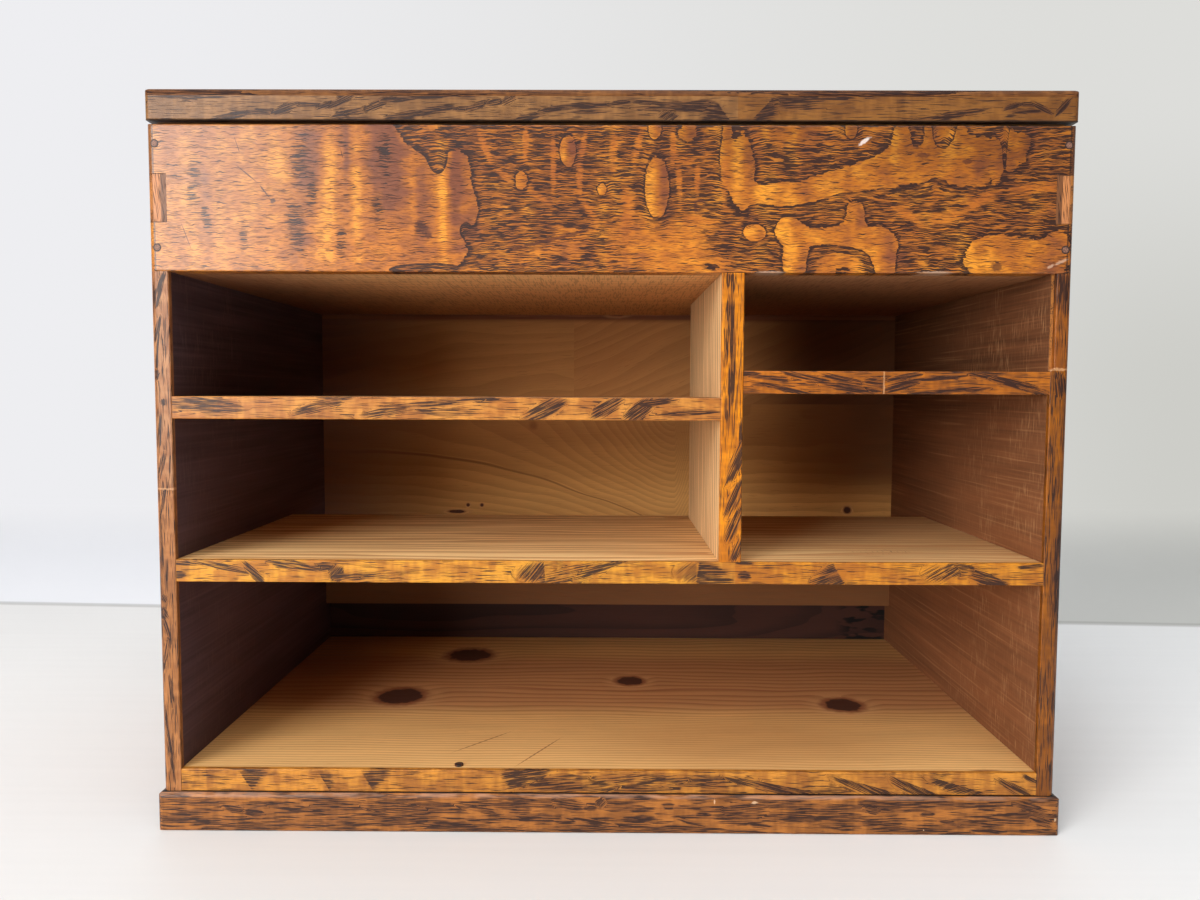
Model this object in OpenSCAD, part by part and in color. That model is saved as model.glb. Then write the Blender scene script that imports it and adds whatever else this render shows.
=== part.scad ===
// Wooden sewing box: an open-fronted carcass of five bays on a low plinth,
// with a closed top compartment under a lid that is hinged at the back.
// All sizes are in millimetres. The origin is the middle of the floor under the box,
// X runs to the right, Y to the back and Z up.

/* [Carcass] */
// Width of the carcass over its sides
body_w = 303; // [270:1:340]
// Depth of the open bays, from the front face to the back lining
bay_d = 160.7; // [120:0.1:220]
// Thickness of the side boards
side_t = 6.4; // [5.6:0.1:10]
// Height of the bottom bay
bottom_bay_h = 64.3; // [50:0.1:100]
// Height from the middle shelf up to the ceiling of the bays
upper_bays_h = 95.7; // [85:0.1:130]
// Width of the left bays
left_bay_w = 181.9; // [150:0.1:200]
// Height of the left middle bay
left_mid_bay_h = 47.2; // [40:0.1:55]
// Height of the right middle bay
right_mid_bay_h = 56.2; // [45:0.1:60]
// Thickness of the bottom board
bottom_t = 7.7; // [6:0.1:12]
// Thickness of the shelves
shelf_t = 7.5; // [6:0.1:10]
// Depth of the middle shelf from the front face, which stops short of the lining
shelf_d = 114; // [80:0.5:120]
// Thickness of the upright divider
divider_t = 7.4; // [6.5:0.1:10]
// Depth of the divider and the upper shelves from the front face
divider_d = 109; // [70:0.5:120]
// Depth of the housings that the shelf ends sit in
housing_d = 2; // [1:0.1:2.5]
// Thickness of the board between the bays and the top compartment
compartment_floor_t = 5; // [4:0.1:8]

/* [Front panel] */
// Height of the figured front panel
panel_h = 47.5; // [38:0.1:70]
// Thickness of the front panel
panel_t = 6.5; // [5:0.1:10]
// Radius of the pegs through the corner fingers
peg_r = 1.3; // [0.8:0.05:1.5]
// Distance of each peg's centre from the side of the box
peg_inset = 2.9; // [2.5:0.1:3.2]
// Height of the lower pegs above the panel's bottom edge
peg_low = 7.7; // [4:0.1:9]
// Distance of the upper pegs below the panel's top edge
peg_high = 6.3; // [4:0.1:9]
// Length of the pegs
peg_l = 20; // [12:0.5:30]

/* [Edging strips] */
// Thickness of the strips glued to the front edges
edging_t = 1.8; // [1.2:0.1:3]
// Length of the lower strip on the left side
left_strip_l = 103.3; // [60:0.1:150]
// Length of the lower strip on the right side
right_strip_l = 144; // [80:0.1:160]
// How far the upper right strip stops short of the inner face, which leaves an open crack
crack_w = 1.1; // [0:0.1:2]
// Length of the left strip on the middle shelf
middle_strip_l = 187.4; // [80:0.1:230]
// Length of the left strip on the upper right shelf
right_shelf_strip_l = 46.3; // [20:0.1:75]
// Rounding of the strips' long edges
strip_ease = 0.4; // [0.2:0.05:0.8]

/* [Back] */
// Thickness of the boards that line the back of the bays
lining_t = 6.5; // [4:0.1:10]
// Height of the gap that the lining leaves above the bottom board
lining_gap_h = 19.2; // [8:0.1:40]
// How far the back of the top compartment shows below the ceiling of the bays
lining_drop = 2.2; // [1:0.1:4]
// Length of the upper left lining board
lining_joint = 127.8; // [60:0.1:220]
// Thickness of the outer back boards
back_t = 6; // [5:0.1:10]
// Width of the rebate in each side that takes the outer back
rebate_w = 3.2; // [2:0.1:4]
// Radius of the back nails' shanks
nail_r = 0.7; // [0.5:0.05:1]
// Radius of the back nails' heads
nail_head_r = 1.5; // [1.2:0.1:2]
// Height of the back nails' heads
nail_head_h = 0.6; // [0.3:0.1:1]
// Length of the back nails
nail_l = 16; // [10:0.5:25]
// Distance of the outer nails from the ends of each back board
nail_end = 14; // [8:1:30]
// Distance of the floor nail from the middle of the box
floor_nail_x = 51.2; // [10:0.1:100]
// Distance of the floor nail behind the front face
floor_nail_y = 4; // [3:0.1:8]
// Length of the floor nail
floor_nail_l = 12; // [8:0.5:18]

/* [Plinth] */
// Height of the plinth
plinth_h = 13.3; // [8:0.1:25]
// How far the plinth stands proud of the carcass
plinth_over = 1.5; // [0.5:0.1:6]
// Width of the plinth's rails, seen from above
plinth_rail_w = 16; // [10:0.5:30]
// Rounding of the plinth's outer edges
plinth_r = 2; // [1:0.1:3]

/* [Lid] */
// Thickness of the whole lid
lid_t = 10.4; // [9:0.1:14]
// Thickness of the lid's top board
lid_top_t = 2.6; // [2.4:0.1:3.5]
// Gap between the lid and the carcass
lid_gap = 1.1; // [0.6:0.1:1.6]
// How far the lid stands proud of the front and sides
lid_over = 0.3; // [0:0.1:1.4]
// Depth of the lid's front and side edging
lid_edging_w = 3; // [2.2:0.1:6]
// Length of the left half of the lid's front edging
lid_strip_l = 193; // [60:0.1:260]
// Width of the hardwood rail that carries the hinges
lid_rail_w = 20; // [18:0.5:30]
// How far the lid reaches behind the hinge axis, which stops it when it is open
lid_stop = 5; // [4:0.1:8]
// Rounding of the lid's top edge
lid_r = 2.3; // [1:0.1:2.3]
// Rounding of the lid's upright corners
lid_corner_r = 2; // [1:0.1:2.2]

/* [Hinges] */
// Length of each hinge
hinge_l = 26; // [20:0.5:40]
// Distance of each hinge's middle from the side of the box
hinge_inset = 61.5; // [40:0.5:100]
// Distance of the hinge axis behind the back face
hinge_out = 1.9; // [1.9:0.05:2.4]
// Width of a leaf from the hinge axis
leaf_w = 11; // [9:0.1:13]
// Thickness of a leaf
leaf_t = 0.9; // [0.6:0.05:1.2]
// Radius of the knuckles
knuckle_r = 1.8; // [1.5:0.05:1.8]
// Radius of the hinge pin
pin_r = 0.8; // [0.6:0.05:0.9]
// Distance of the screws from the middle of the hinge
screw_x = 8; // [6:0.1:9]
// Distance of the screws from the hinge axis
screw_y = 5; // [4:0.1:6.5]
// Length of the hinge screws
screw_l = 6.5; // [5:0.1:6.8]
// Radius of the screws' shanks
screw_r = 0.8; // [0.5:0.05:1]
// Radius of the screws' heads
screw_head_r = 1.6; // [1.3:0.05:2]

/* [Fits and edges] */
// Clearance of a board in its housing, finger or mortise
fit_gap = 0.1; // [0.05:0.05:0.2]
// Clearance of nails, pegs and screws in their holes
nail_gap = 0.05; // [0.02:0.01:0.1]
// Radial clearance of the hinge pin
pin_gap = 0.05; // [0.02:0.01:0.1]
// Gap between neighbouring knuckles and between the closed leaves
leaf_gap = 0.2; // [0.1:0.05:0.3]
// Rounding of the carcass's upright corners
corner_r = 2.4; // [1:0.1:3]
// Small rounding of other edges that show
ease_r = 0.6; // [0.3:0.1:0.9]

/* [Hidden] */
$fn = 48;
cut = 1;
half_w = body_w / 2;
inner_x = half_w - side_t;
hinge_x = half_w - hinge_inset;
body_d = bay_d + lining_t + back_t;
axis_y = body_d + hinge_out;
lid_back_y = axis_y + lid_stop;
// The front face's place puts the origin midway between the plinth's front and the lid's back.
front_y = -(lid_back_y - plinth_over) / 2;

floor_z = plinth_h + bottom_t;
middle_z = floor_z + bottom_bay_h;
middle_top_z = middle_z + shelf_t;
ceiling_z = middle_top_z + upper_bays_h;
left_shelf_z = middle_top_z + left_mid_bay_h;
right_shelf_z = middle_top_z + right_mid_bay_h;
top_z = ceiling_z + panel_h;
divider_x = left_bay_w - inner_x;
divider_end_x = divider_x + divider_t;
finger_h = panel_h / 3;
left_seam_z = plinth_h + left_strip_l;
right_seam_z = plinth_h + right_strip_l;
middle_seam_x = middle_strip_l - inner_x;
right_shelf_seam_x = divider_end_x + right_shelf_strip_l;

lining_z = floor_z + lining_gap_h;
lining_joint_z = left_shelf_z + shelf_t / 2;
lining_joint_x = lining_joint - inner_x;
compartment_back_z = ceiling_z - lining_drop;
outer_back_y = bay_d + lining_t;
outer_back_x = half_w - rebate_w;
back_joint_z = (plinth_h + top_z) / 2;
back_board_h = top_z - back_joint_z;
nail_x = outer_back_x - rebate_w / 2;
nail_rows = [back_joint_z - back_board_h / 2, back_joint_z + back_board_h / 2];
nail_step = back_board_h / 2 - nail_end;

lid_z = top_z + lid_gap;
lid_half_w = half_w + lid_over;
lid_top_z = lid_z + lid_t - lid_top_t;
lid_rail_y = lid_back_y - lid_rail_w;
lid_seam_x = lid_strip_l - lid_half_w;
axis_z = top_z + lid_gap / 2;
knuckle_count = 5;
knuckle_l = hinge_l / knuckle_count;
knuckle_room = knuckle_r + leaf_gap;
body_knuckles = [0, 2, 4];
lid_knuckles = [1, 3];

// A block between two values on each axis, with y counted from the front face.
module block(x, y, z) {
    translate([x[0], front_y + y[0], z[0]]) cube([x[1] - x[0], y[1] - y[0], z[1] - z[0]]);
}

// What a rounded corner takes away from a square one, in the plane.
module corner_waste(r) {
    difference() {
        translate([-cut, -cut]) square(r + cut);
        translate([r, r]) circle(r);
    }
}

// A strip's section: x across its width, y into its depth, both front corners rounded.
module strip_section(width, depth, r_low, r_high) {
    difference() {
        square([width, depth]);
        corner_waste(r_low);
        translate([width, 0]) mirror([1, 0]) corner_waste(r_high);
    }
}

// Runs a section along X, with the section's x as height.
module along_x(x, z) {
    translate([x[0], front_y, z]) mirror([1, 0, -1]) linear_extrude(x[1] - x[0]) children();
}

// Runs a section up along Z.
module along_z(x, z) {
    translate([x, front_y, z[0]]) linear_extrude(z[1] - z[0]) children();
}

// Rounds an upright corner at x, y of a piece that lies towards -x or +x and -y or +y of it.
module round_upright(x, y, x_dir, y_dir, r, z) {
    translate([x, front_y + y, z[0] - cut]) mirror([x_dir < 0 ? 1 : 0, 0]) mirror([0, y_dir < 0 ? 1 : 0])
        linear_extrude(z[1] - z[0] + 2 * cut) corner_waste(r);
}

// Rounds an edge along X at y, z of a piece that lies towards y_dir and z_dir of it.
module round_along_x(x, y, z, y_dir, z_dir, r) {
    translate([x[0] - cut, front_y + y, z]) mirror([0, y_dir < 0 ? 1 : 0, 0]) mirror([0, 0, z_dir < 0 ? 1 : 0])
        mirror([1, 0, -1]) linear_extrude(x[1] - x[0] + 2 * cut) corner_waste(r);
}

// Rounds an edge along Y at x, z of a piece that lies towards x_dir and z_dir of it.
module round_along_y(x, y, z, x_dir, z_dir, r) {
    translate([x, front_y + y[0] - cut, z]) mirror([x_dir < 0 ? 1 : 0, 0, 0]) mirror([0, 0, z_dir < 0 ? 1 : 0])
        mirror([0, 1, -1]) linear_extrude(y[1] - y[0] + 2 * cut) corner_waste(r);
}

// A round hole or rod along Y.
module rod_y(x, y, z, r) {
    translate([x, front_y + y[0], z]) rotate([-90, 0, 0]) cylinder(r = r, h = y[1] - y[0]);
}

// A horizontal strip on a shelf's front edge.
module shelf_strip(x, z, height) {
    along_x(x, z) strip_section(height, edging_t, strip_ease, strip_ease);
}

// The holes of the pegs, of one radius, in the panel's fingers and in the sides behind them.
module peg_rods(r, y) {
    for (x = [-1, 1], z = [ceiling_z + peg_low, top_z - peg_high])
        rod_y(x * (half_w - peg_inset), y, z, r);
}

// The shanks of the back nails, with room added to their radius for the holes.
module nail_rods(room) {
    for (x = [-1, 1], z = nail_rows, k = [-1, 0, 1])
        rod_y(x * nail_x, [body_d - nail_l, body_d + room], z + k * nail_step, nail_r + room);
}

// The housing of a shelf's end in a side board, given at the left.
module side_housing(z, t, y) {
    block([-inner_x - housing_d - fit_gap, -inner_x + cut], y, [z - fit_gap, z + t + fit_gap]);
}

// A side board, given at the left. Shelf_z is the height of its upper shelf.
module side_board(shelf_z) {
    difference() {
        block([-half_w, -inner_x], [0, body_d], [plinth_h, top_z]);
        // The front edging lies over the whole edge below the panel.
        block([-half_w - cut, -inner_x + cut], [-cut, edging_t], [plinth_h - cut, ceiling_z]);
        // The panel's lower and upper fingers.
        block([-half_w - cut, -inner_x + cut], [-cut, panel_t], [ceiling_z, ceiling_z + finger_h + fit_gap]);
        block([-half_w - cut, -inner_x + cut], [-cut, panel_t], [top_z - finger_h - fit_gap, top_z + cut]);
        // The bottom board's rebate and the housings of the shelves.
        side_housing(plinth_h, bottom_t, [0, outer_back_y]);
        side_housing(middle_z, shelf_t, [0, shelf_d + fit_gap]);
        side_housing(shelf_z, shelf_t, [0, divider_d + fit_gap]);
        side_housing(ceiling_z, compartment_floor_t, [panel_t, bay_d]);
        // The rebate of the outer back.
        block([-outer_back_x, -inner_x + cut], [outer_back_y, body_d + cut], [plinth_h - cut, top_z + cut]);
        round_upright(-half_w, 0, 1, 1, corner_r, [plinth_h, top_z]);
        round_upright(-half_w, body_d, 1, -1, corner_r, [plinth_h, top_z]);
        peg_rods(peg_r + nail_gap, [0, peg_l]);
        nail_rods(nail_gap);
    }
}

// An upright strip on the front edge of a side, given at the left.
module side_strip(z, gap) {
    along_z(-half_w, z) strip_section(side_t - gap, edging_t, corner_r, strip_ease);
}

// A shelf board with its ends in their housings.
module shelf(x, depth, z) {
    block([x[0] - housing_d, x[1] + housing_d], [edging_t, depth], [z, z + shelf_t]);
}

// A rail of the plinth's front or back: its outer face is at y and it runs inwards by dir.
module plinth_long_rail(y, dir) {
    x = half_w + plinth_over;
    difference() {
        translate([0, front_y + y, 0]) linear_extrude(plinth_h)
            polygon([[-x, 0], [x, 0], [x - plinth_rail_w, dir * plinth_rail_w], [plinth_rail_w - x, dir * plinth_rail_w]]);
        plinth_rounding();
    }
}

// A rail of the plinth's left or right end: side is -1 or 1.
module plinth_end_rail(side) {
    x = side * (half_w + plinth_over);
    y = [front_y - plinth_over, front_y + body_d + plinth_over];
    difference() {
        linear_extrude(plinth_h)
            polygon([[x, y[0]], [x, y[1]], [x - side * plinth_rail_w, y[1] - plinth_rail_w],
                [x - side * plinth_rail_w, y[0] + plinth_rail_w]]);
        plinth_rounding();
    }
}

// What the rounded outer edges take away from the plinth.
module plinth_rounding() {
    x = half_w + plinth_over;
    for (end = [-1, 1]) {
        y = end < 0 ? -plinth_over : body_d + plinth_over;
        for (side = [-1, 1]) round_upright(side * x, y, -side, -end, plinth_r, [0, plinth_h]);
        round_along_x([-x, x], y, plinth_h, -end, -1, plinth_r);
        round_along_x([-x, x], y, 0, -end, 1, ease_r);
        round_along_y(end * x, [-plinth_over, body_d + plinth_over], plinth_h, -end, -1, plinth_r);
        round_along_y(end * x, [-plinth_over, body_d + plinth_over], 0, -end, 1, ease_r);
    }
}

// The mortises that both body leaves sit in.
module body_mortises() {
    for (side = [-1, 1])
        block([side * hinge_x - hinge_l / 2 - fit_gap, side * hinge_x + hinge_l / 2 + fit_gap],
            [axis_y - leaf_w - fit_gap, body_d + cut], [axis_z - leaf_gap / 2 - leaf_t, top_z + cut]);
}

// The mortises of the lid leaves and the hollows over the knuckles.
module lid_mortises() {
    for (side = [-1, 1]) {
        x = [side * hinge_x - hinge_l / 2 - fit_gap, side * hinge_x + hinge_l / 2 + fit_gap];
        block(x, [axis_y - leaf_w - fit_gap, axis_y], [lid_z - cut, axis_z + leaf_gap / 2 + leaf_t]);
        block([x[0] - leaf_gap, x[1] + leaf_gap], [axis_y - knuckle_room, axis_y + knuckle_room],
            [lid_z - cut, axis_z + knuckle_room]);
    }
}

// A countersunk screw below z = 0, with room added all round for its hole.
module screw_form(room) {
    translate([0, 0, -screw_l]) cylinder(r = screw_r + room, h = screw_l);
    translate([0, 0, -screw_head_r]) cylinder(r1 = room, r2 = screw_head_r + room, h = screw_head_r);
}

// All the screws of one side of the hinges: dir is -1 into the body and 1 into the lid.
module hinge_screws(dir, room) {
    for (side = [-1, 1], x = [-screw_x, screw_x])
        translate([side * hinge_x + x, front_y + axis_y - screw_y, axis_z + dir * leaf_gap / 2])
            mirror([0, 0, dir > 0 ? 1 : 0]) screw_form(room);
}

// A hinge leaf: dir is -1 below the axis and 1 above it, knuckles lists its own ones.
module hinge_leaf(x, dir, knuckles) {
    low_z = dir > 0 ? leaf_gap / 2 : -leaf_gap / 2 - leaf_t;
    difference() {
        translate([x, front_y + axis_y, axis_z]) difference() {
            union() {
                translate([-hinge_l / 2, -leaf_w, low_z]) cube([hinge_l, leaf_w - knuckle_room, leaf_t]);
                for (k = knuckles) translate([k * knuckle_l - hinge_l / 2 + leaf_gap / 2, 0, 0]) {
                    translate([0, -knuckle_room - leaf_gap, low_z])
                        cube([knuckle_l - leaf_gap, knuckle_room + leaf_gap, leaf_t]);
                    rotate([0, 90, 0]) cylinder(r = knuckle_r, h = knuckle_l - leaf_gap);
                }
            }
            translate([-hinge_l / 2 - cut, 0, 0]) rotate([0, 90, 0])
                cylinder(r = pin_r + pin_gap, h = hinge_l + 2 * cut);
        }
        hinge_screws(dir, nail_gap);
    }
}

// A hinge pin, with its ends just proud of the outer knuckles.
module hinge_pin(x) {
    translate([x - hinge_l / 2 - leaf_gap, front_y + axis_y, axis_z]) rotate([0, 90, 0])
        cylinder(r = pin_r, h = hinge_l + 2 * leaf_gap);
}

// What the rounded outer edges take away from the lid.
module lid_rounding() {
    z_top = lid_z + lid_t;
    for (side = [-1, 1]) {
        round_upright(side * lid_half_w, -lid_over, -side, 1, lid_corner_r, [lid_z, z_top]);
        round_upright(side * lid_half_w, lid_back_y, -side, -1, lid_corner_r, [lid_z, z_top]);
        round_along_y(side * lid_half_w, [-lid_over, lid_back_y], z_top, -side, -1, lid_r);
        round_along_y(side * lid_half_w, [-lid_over, lid_back_y], lid_z, -side, 1, ease_r);
    }
    round_along_x([-lid_half_w, lid_half_w], -lid_over, z_top, 1, -1, lid_r);
    round_along_x([-lid_half_w, lid_half_w], -lid_over, lid_z, 1, 1, ease_r);
    round_along_x([-lid_half_w, lid_half_w], lid_back_y, z_top, -1, -1, lid_r);
    round_along_x([-lid_half_w, lid_half_w], lid_back_y, lid_z, -1, 1, ease_r);
}

// A piece of the lid below its top board.
module lid_piece(x, y) {
    difference() {
        block(x, y, [lid_z, lid_top_z]);
        lid_rounding();
    }
}

module plinth_front() {
    color("#935f36") plinth_long_rail(-plinth_over, 1);
}
module plinth_back() {
    color("#935f36") plinth_long_rail(body_d + plinth_over, -1);
}
module plinth_left() {
    color("#935f36") plinth_end_rail(-1);
}
module plinth_right() {
    color("#935f36") plinth_end_rail(1);
}

module bottom_board() {
    x = inner_x + housing_d;
    color("#c89860") difference() {
        block([-x, x], [edging_t, outer_back_y], [plinth_h, floor_z]);
        translate([-floor_nail_x, front_y + floor_nail_y, floor_z]) floor_nail_form(nail_gap);
    }
}
module bottom_edging() {
    color("#b0743d") shelf_strip([-inner_x, inner_x], plinth_h, bottom_t);
}

module left_side() {
    color("#7a4a2c") side_board(left_shelf_z);
}
module right_side() {
    color("#7a4a2c") mirror([1, 0, 0]) side_board(right_shelf_z);
}
module left_edging_lower() {
    color("#c29677") side_strip([plinth_h, left_seam_z], 0);
}
module left_edging_upper() {
    color("#c29677") side_strip([left_seam_z, ceiling_z], 0);
}
module right_edging_lower() {
    color("#8e6442") mirror([1, 0, 0]) side_strip([plinth_h, right_seam_z], 0);
}
module right_edging_upper() {
    color("#8e6442") mirror([1, 0, 0]) side_strip([right_seam_z, ceiling_z], crack_w);
}

module middle_shelf() {
    color("#b18658") difference() {
        shelf([-inner_x, inner_x], shelf_d, middle_z);
        // The divider's foot.
        block([divider_x - fit_gap, divider_end_x + fit_gap], [0, divider_d + fit_gap],
            [middle_top_z - housing_d - fit_gap, middle_top_z + cut]);
    }
}
module middle_edging_left() {
    color("#c4813a") shelf_strip([-inner_x, middle_seam_x], middle_z, shelf_t);
}
module middle_edging_right() {
    color("#c4813a") shelf_strip([middle_seam_x, inner_x], middle_z, shelf_t);
}

module divider() {
    x = [divider_x, divider_end_x];
    color("#b38356") difference() {
        union() {
            block(x, [edging_t, divider_d], [middle_top_z - housing_d, ceiling_z]);
            block(x, [panel_t + fit_gap, divider_d], [ceiling_z - cut, ceiling_z + housing_d]);
        }
        block([divider_x - cut, divider_x + housing_d + fit_gap], [0, divider_d + cut],
            [left_shelf_z - fit_gap, left_shelf_z + shelf_t + fit_gap]);
        block([divider_end_x - housing_d - fit_gap, divider_end_x + cut], [0, divider_d + cut],
            [right_shelf_z - fit_gap, right_shelf_z + shelf_t + fit_gap]);
    }
}
module divider_edging() {
    color("#b87129") along_z(divider_x, [middle_top_z, ceiling_z])
        strip_section(divider_t, edging_t, strip_ease, strip_ease);
}

module upper_left_shelf() {
    color("#b18658") shelf([-inner_x, divider_x], divider_d, left_shelf_z);
}
module upper_left_edging() {
    color("#bc7f47") shelf_strip([-inner_x, divider_x], left_shelf_z, shelf_t);
}
module upper_right_shelf() {
    color("#b18658") shelf([divider_end_x, inner_x], divider_d, right_shelf_z);
}
module upper_right_edging_left() {
    color("#8e562a") shelf_strip([divider_end_x, right_shelf_seam_x], right_shelf_z, shelf_t);
}
module upper_right_edging_right() {
    color("#8e562a") shelf_strip([right_shelf_seam_x, inner_x], right_shelf_z, shelf_t);
}

module compartment_floor() {
    x = inner_x + housing_d;
    color("#805432") difference() {
        block([-x, x], [panel_t, bay_d], [ceiling_z, ceiling_z + compartment_floor_t]);
        // The divider's head.
        block([divider_x - fit_gap, divider_end_x + fit_gap], [panel_t - cut, divider_d + fit_gap],
            [ceiling_z - cut, ceiling_z + housing_d + fit_gap]);
    }
}

module front_panel() {
    color("#a86c3d") difference() {
        block([-half_w, half_w], [0, panel_t], [ceiling_z, top_z]);
        for (side = [-1, 1]) {
            // The side's middle finger.
            block([side < 0 ? -half_w - cut : inner_x, side < 0 ? -inner_x : half_w + cut],
                [-cut, panel_t + cut], [ceiling_z + finger_h, ceiling_z + 2 * finger_h]);
            round_upright(side * half_w, 0, -side, 1, corner_r, [ceiling_z, top_z]);
        }
        round_along_x([-half_w, half_w], 0, top_z, 1, -1, ease_r);
        round_along_x([-half_w, half_w], 0, ceiling_z, 1, 1, strip_ease);
        peg_rods(peg_r + nail_gap, [-cut, panel_t + cut]);
    }
}
module panel_pegs() {
    color("#6f5a4e") peg_rods(peg_r, [0, peg_l - nail_gap]);
}

module compartment_back() {
    color("#7a4c2a") difference() {
        block([-inner_x, inner_x], [bay_d, outer_back_y], [compartment_back_z, top_z]);
        body_mortises();
        hinge_screws(-1, nail_gap);
    }
}
module lining_lower() {
    color("#a5734a") block([-inner_x, inner_x], [bay_d, outer_back_y], [lining_z, lining_joint_z]);
}
module lining_upper_left() {
    color("#a5734a") block([-inner_x, lining_joint_x], [bay_d, outer_back_y], [lining_joint_z, compartment_back_z]);
}
module lining_upper_right() {
    color("#a5734a") block([lining_joint_x, inner_x], [bay_d, outer_back_y], [lining_joint_z, compartment_back_z]);
}

// An outer back board between two heights.
module outer_back_board(z) {
    difference() {
        block([-outer_back_x, outer_back_x], [outer_back_y, body_d], z);
        nail_rods(nail_gap);
    }
}
module outer_back_lower() {
    color("#5d3b24") outer_back_board([plinth_h, back_joint_z]);
}
module outer_back_upper() {
    color("#5d3b24") difference() {
        outer_back_board([back_joint_z, top_z]);
        body_mortises();
        hinge_screws(-1, nail_gap);
    }
}
module back_nails() {
    color("#4a4644") {
        nail_rods(0);
        for (x = [-1, 1], z = nail_rows, k = [-1, 0, 1])
            rod_y(x * nail_x, [body_d, body_d + nail_head_h], z + k * nail_step, nail_head_r);
    }
}

// The floor nail below z = 0, with room added all round for its hole.
module floor_nail_form(room) {
    translate([0, 0, -floor_nail_l / 2 - room]) cylinder(r = nail_r + room, h = floor_nail_l / 2 + room);
}
module floor_nail() {
    color("#4a4644") translate([-floor_nail_x, front_y + floor_nail_y, floor_z]) {
        floor_nail_form(0);
        cylinder(r = nail_head_r, h = nail_head_h);
    }
}

module hinge_left_body_leaf() {
    color("#a98c4c") hinge_leaf(-hinge_x, -1, body_knuckles);
}
module hinge_right_body_leaf() {
    color("#a98c4c") hinge_leaf(hinge_x, -1, body_knuckles);
}
module hinge_left_pin() {
    color("#8c8c8c") hinge_pin(-hinge_x);
}
module hinge_right_pin() {
    color("#8c8c8c") hinge_pin(hinge_x);
}
module body_hinge_screws() {
    color("#a98c4c") hinge_screws(-1, 0);
}
module hinge_left_lid_leaf() {
    color("#a98c4c") hinge_leaf(-hinge_x, 1, lid_knuckles);
}
module hinge_right_lid_leaf() {
    color("#a98c4c") hinge_leaf(hinge_x, 1, lid_knuckles);
}
module lid_hinge_screws() {
    color("#a98c4c") hinge_screws(1, 0);
}

module lid_core() {
    x = lid_half_w - lid_edging_w;
    color("#b18658") block([-x, x], [lid_edging_w - lid_over, lid_rail_y], [lid_z, lid_top_z]);
}
module lid_top() {
    color("#896249") difference() {
        block([-lid_half_w, lid_half_w], [-lid_over, lid_back_y], [lid_top_z, lid_z + lid_t]);
        lid_rounding();
    }
}
module lid_front_edging_left() {
    color("#896249") lid_piece([-lid_half_w, lid_seam_x], [-lid_over, lid_edging_w - lid_over]);
}
module lid_front_edging_right() {
    color("#896249") lid_piece([lid_seam_x, lid_half_w], [-lid_over, lid_edging_w - lid_over]);
}
module lid_left_edging() {
    color("#896249") lid_piece([-lid_half_w, lid_edging_w - lid_half_w], [lid_edging_w - lid_over, lid_rail_y]);
}
module lid_right_edging() {
    color("#896249") lid_piece([lid_half_w - lid_edging_w, lid_half_w], [lid_edging_w - lid_over, lid_rail_y]);
}
module lid_back_rail() {
    color("#896249") difference() {
        lid_piece([-lid_half_w, lid_half_w], [lid_rail_y, lid_back_y]);
        lid_mortises();
        hinge_screws(1, nail_gap);
    }
}

plinth_front();
plinth_back();
plinth_left();
plinth_right();
bottom_board();
bottom_edging();
left_side();
right_side();
left_edging_lower();
left_edging_upper();
right_edging_lower();
right_edging_upper();
middle_shelf();
middle_edging_left();
middle_edging_right();
divider();
divider_edging();
upper_left_shelf();
upper_left_edging();
upper_right_shelf();
upper_right_edging_left();
upper_right_edging_right();
compartment_floor();
front_panel();
compartment_back();
lining_lower();
lining_upper_left();
lining_upper_right();
outer_back_lower();
outer_back_upper();
panel_pegs();
back_nails();
floor_nail();
hinge_left_body_leaf();
hinge_right_body_leaf();
hinge_left_pin();
hinge_right_pin();
body_hinge_screws();
hinge_left_lid_leaf();
hinge_right_lid_leaf();
lid_hinge_screws();
lid_core();
lid_top();
lid_front_edging_left();
lid_front_edging_right();
lid_left_edging();
lid_right_edging();
lid_back_rail();
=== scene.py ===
"""The looks of the sewing box: its woods, metals, worn marks, light, floor and camera."""
import math

import bmesh
import bpy
from mathutils import Matrix, Vector

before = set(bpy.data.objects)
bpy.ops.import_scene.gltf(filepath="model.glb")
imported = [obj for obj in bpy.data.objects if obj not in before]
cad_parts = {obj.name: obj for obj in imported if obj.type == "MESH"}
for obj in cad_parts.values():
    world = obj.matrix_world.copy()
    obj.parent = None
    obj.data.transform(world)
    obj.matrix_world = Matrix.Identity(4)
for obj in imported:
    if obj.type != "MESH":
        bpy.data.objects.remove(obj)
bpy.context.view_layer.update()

MM_PER_METRE = 1000
# An oval's reach in its third coordinate, so great that this hardly counts.
OVAL_DEPTH = 1000
# What is left of a bell on its oval's rim.
BELL_RIM = 0.3679

# Places on the box in millimetres: x from its middle to the right, y to the back and z up.
HALF_WIDTH = 151.5
SIDE_INNER = 145.1
FRONT = -89.3
BACK_INNER = 77.9
FINGER_MIDDLE = 212.25
SEAM_LEFT = 116.6
SEAM_RIGHT = 157.3
SEAM_SHELF = 90.5
PEG_RADIUS = 1.3
PEG_X = 148.6
PEGS_Z = (196.2, 229.7)
PLINTH_TOP = 13.3
LID_UNDERSIDE = 237.1
TABLE_EDGE = 213

# -------- shader maths


class Value:
    """A number or vector inside a finish: one socket, with arithmetic that adds Math nodes."""

    def __init__(self, finish, socket):
        self.finish = finish
        self.socket = socket

    def __add__(self, other):
        return self.finish.math("ADD", self, other)

    __radd__ = __add__

    def __sub__(self, other):
        return self.finish.math("SUBTRACT", self, other)

    def __rsub__(self, other):
        return self.finish.math("SUBTRACT", other, self)

    def __mul__(self, other):
        return self.finish.math("MULTIPLY", self, other)

    def __truediv__(self, other):
        return self.finish.math("DIVIDE", self, other)

    def __abs__(self):
        return self.finish.math("ABSOLUTE", self)


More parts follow.
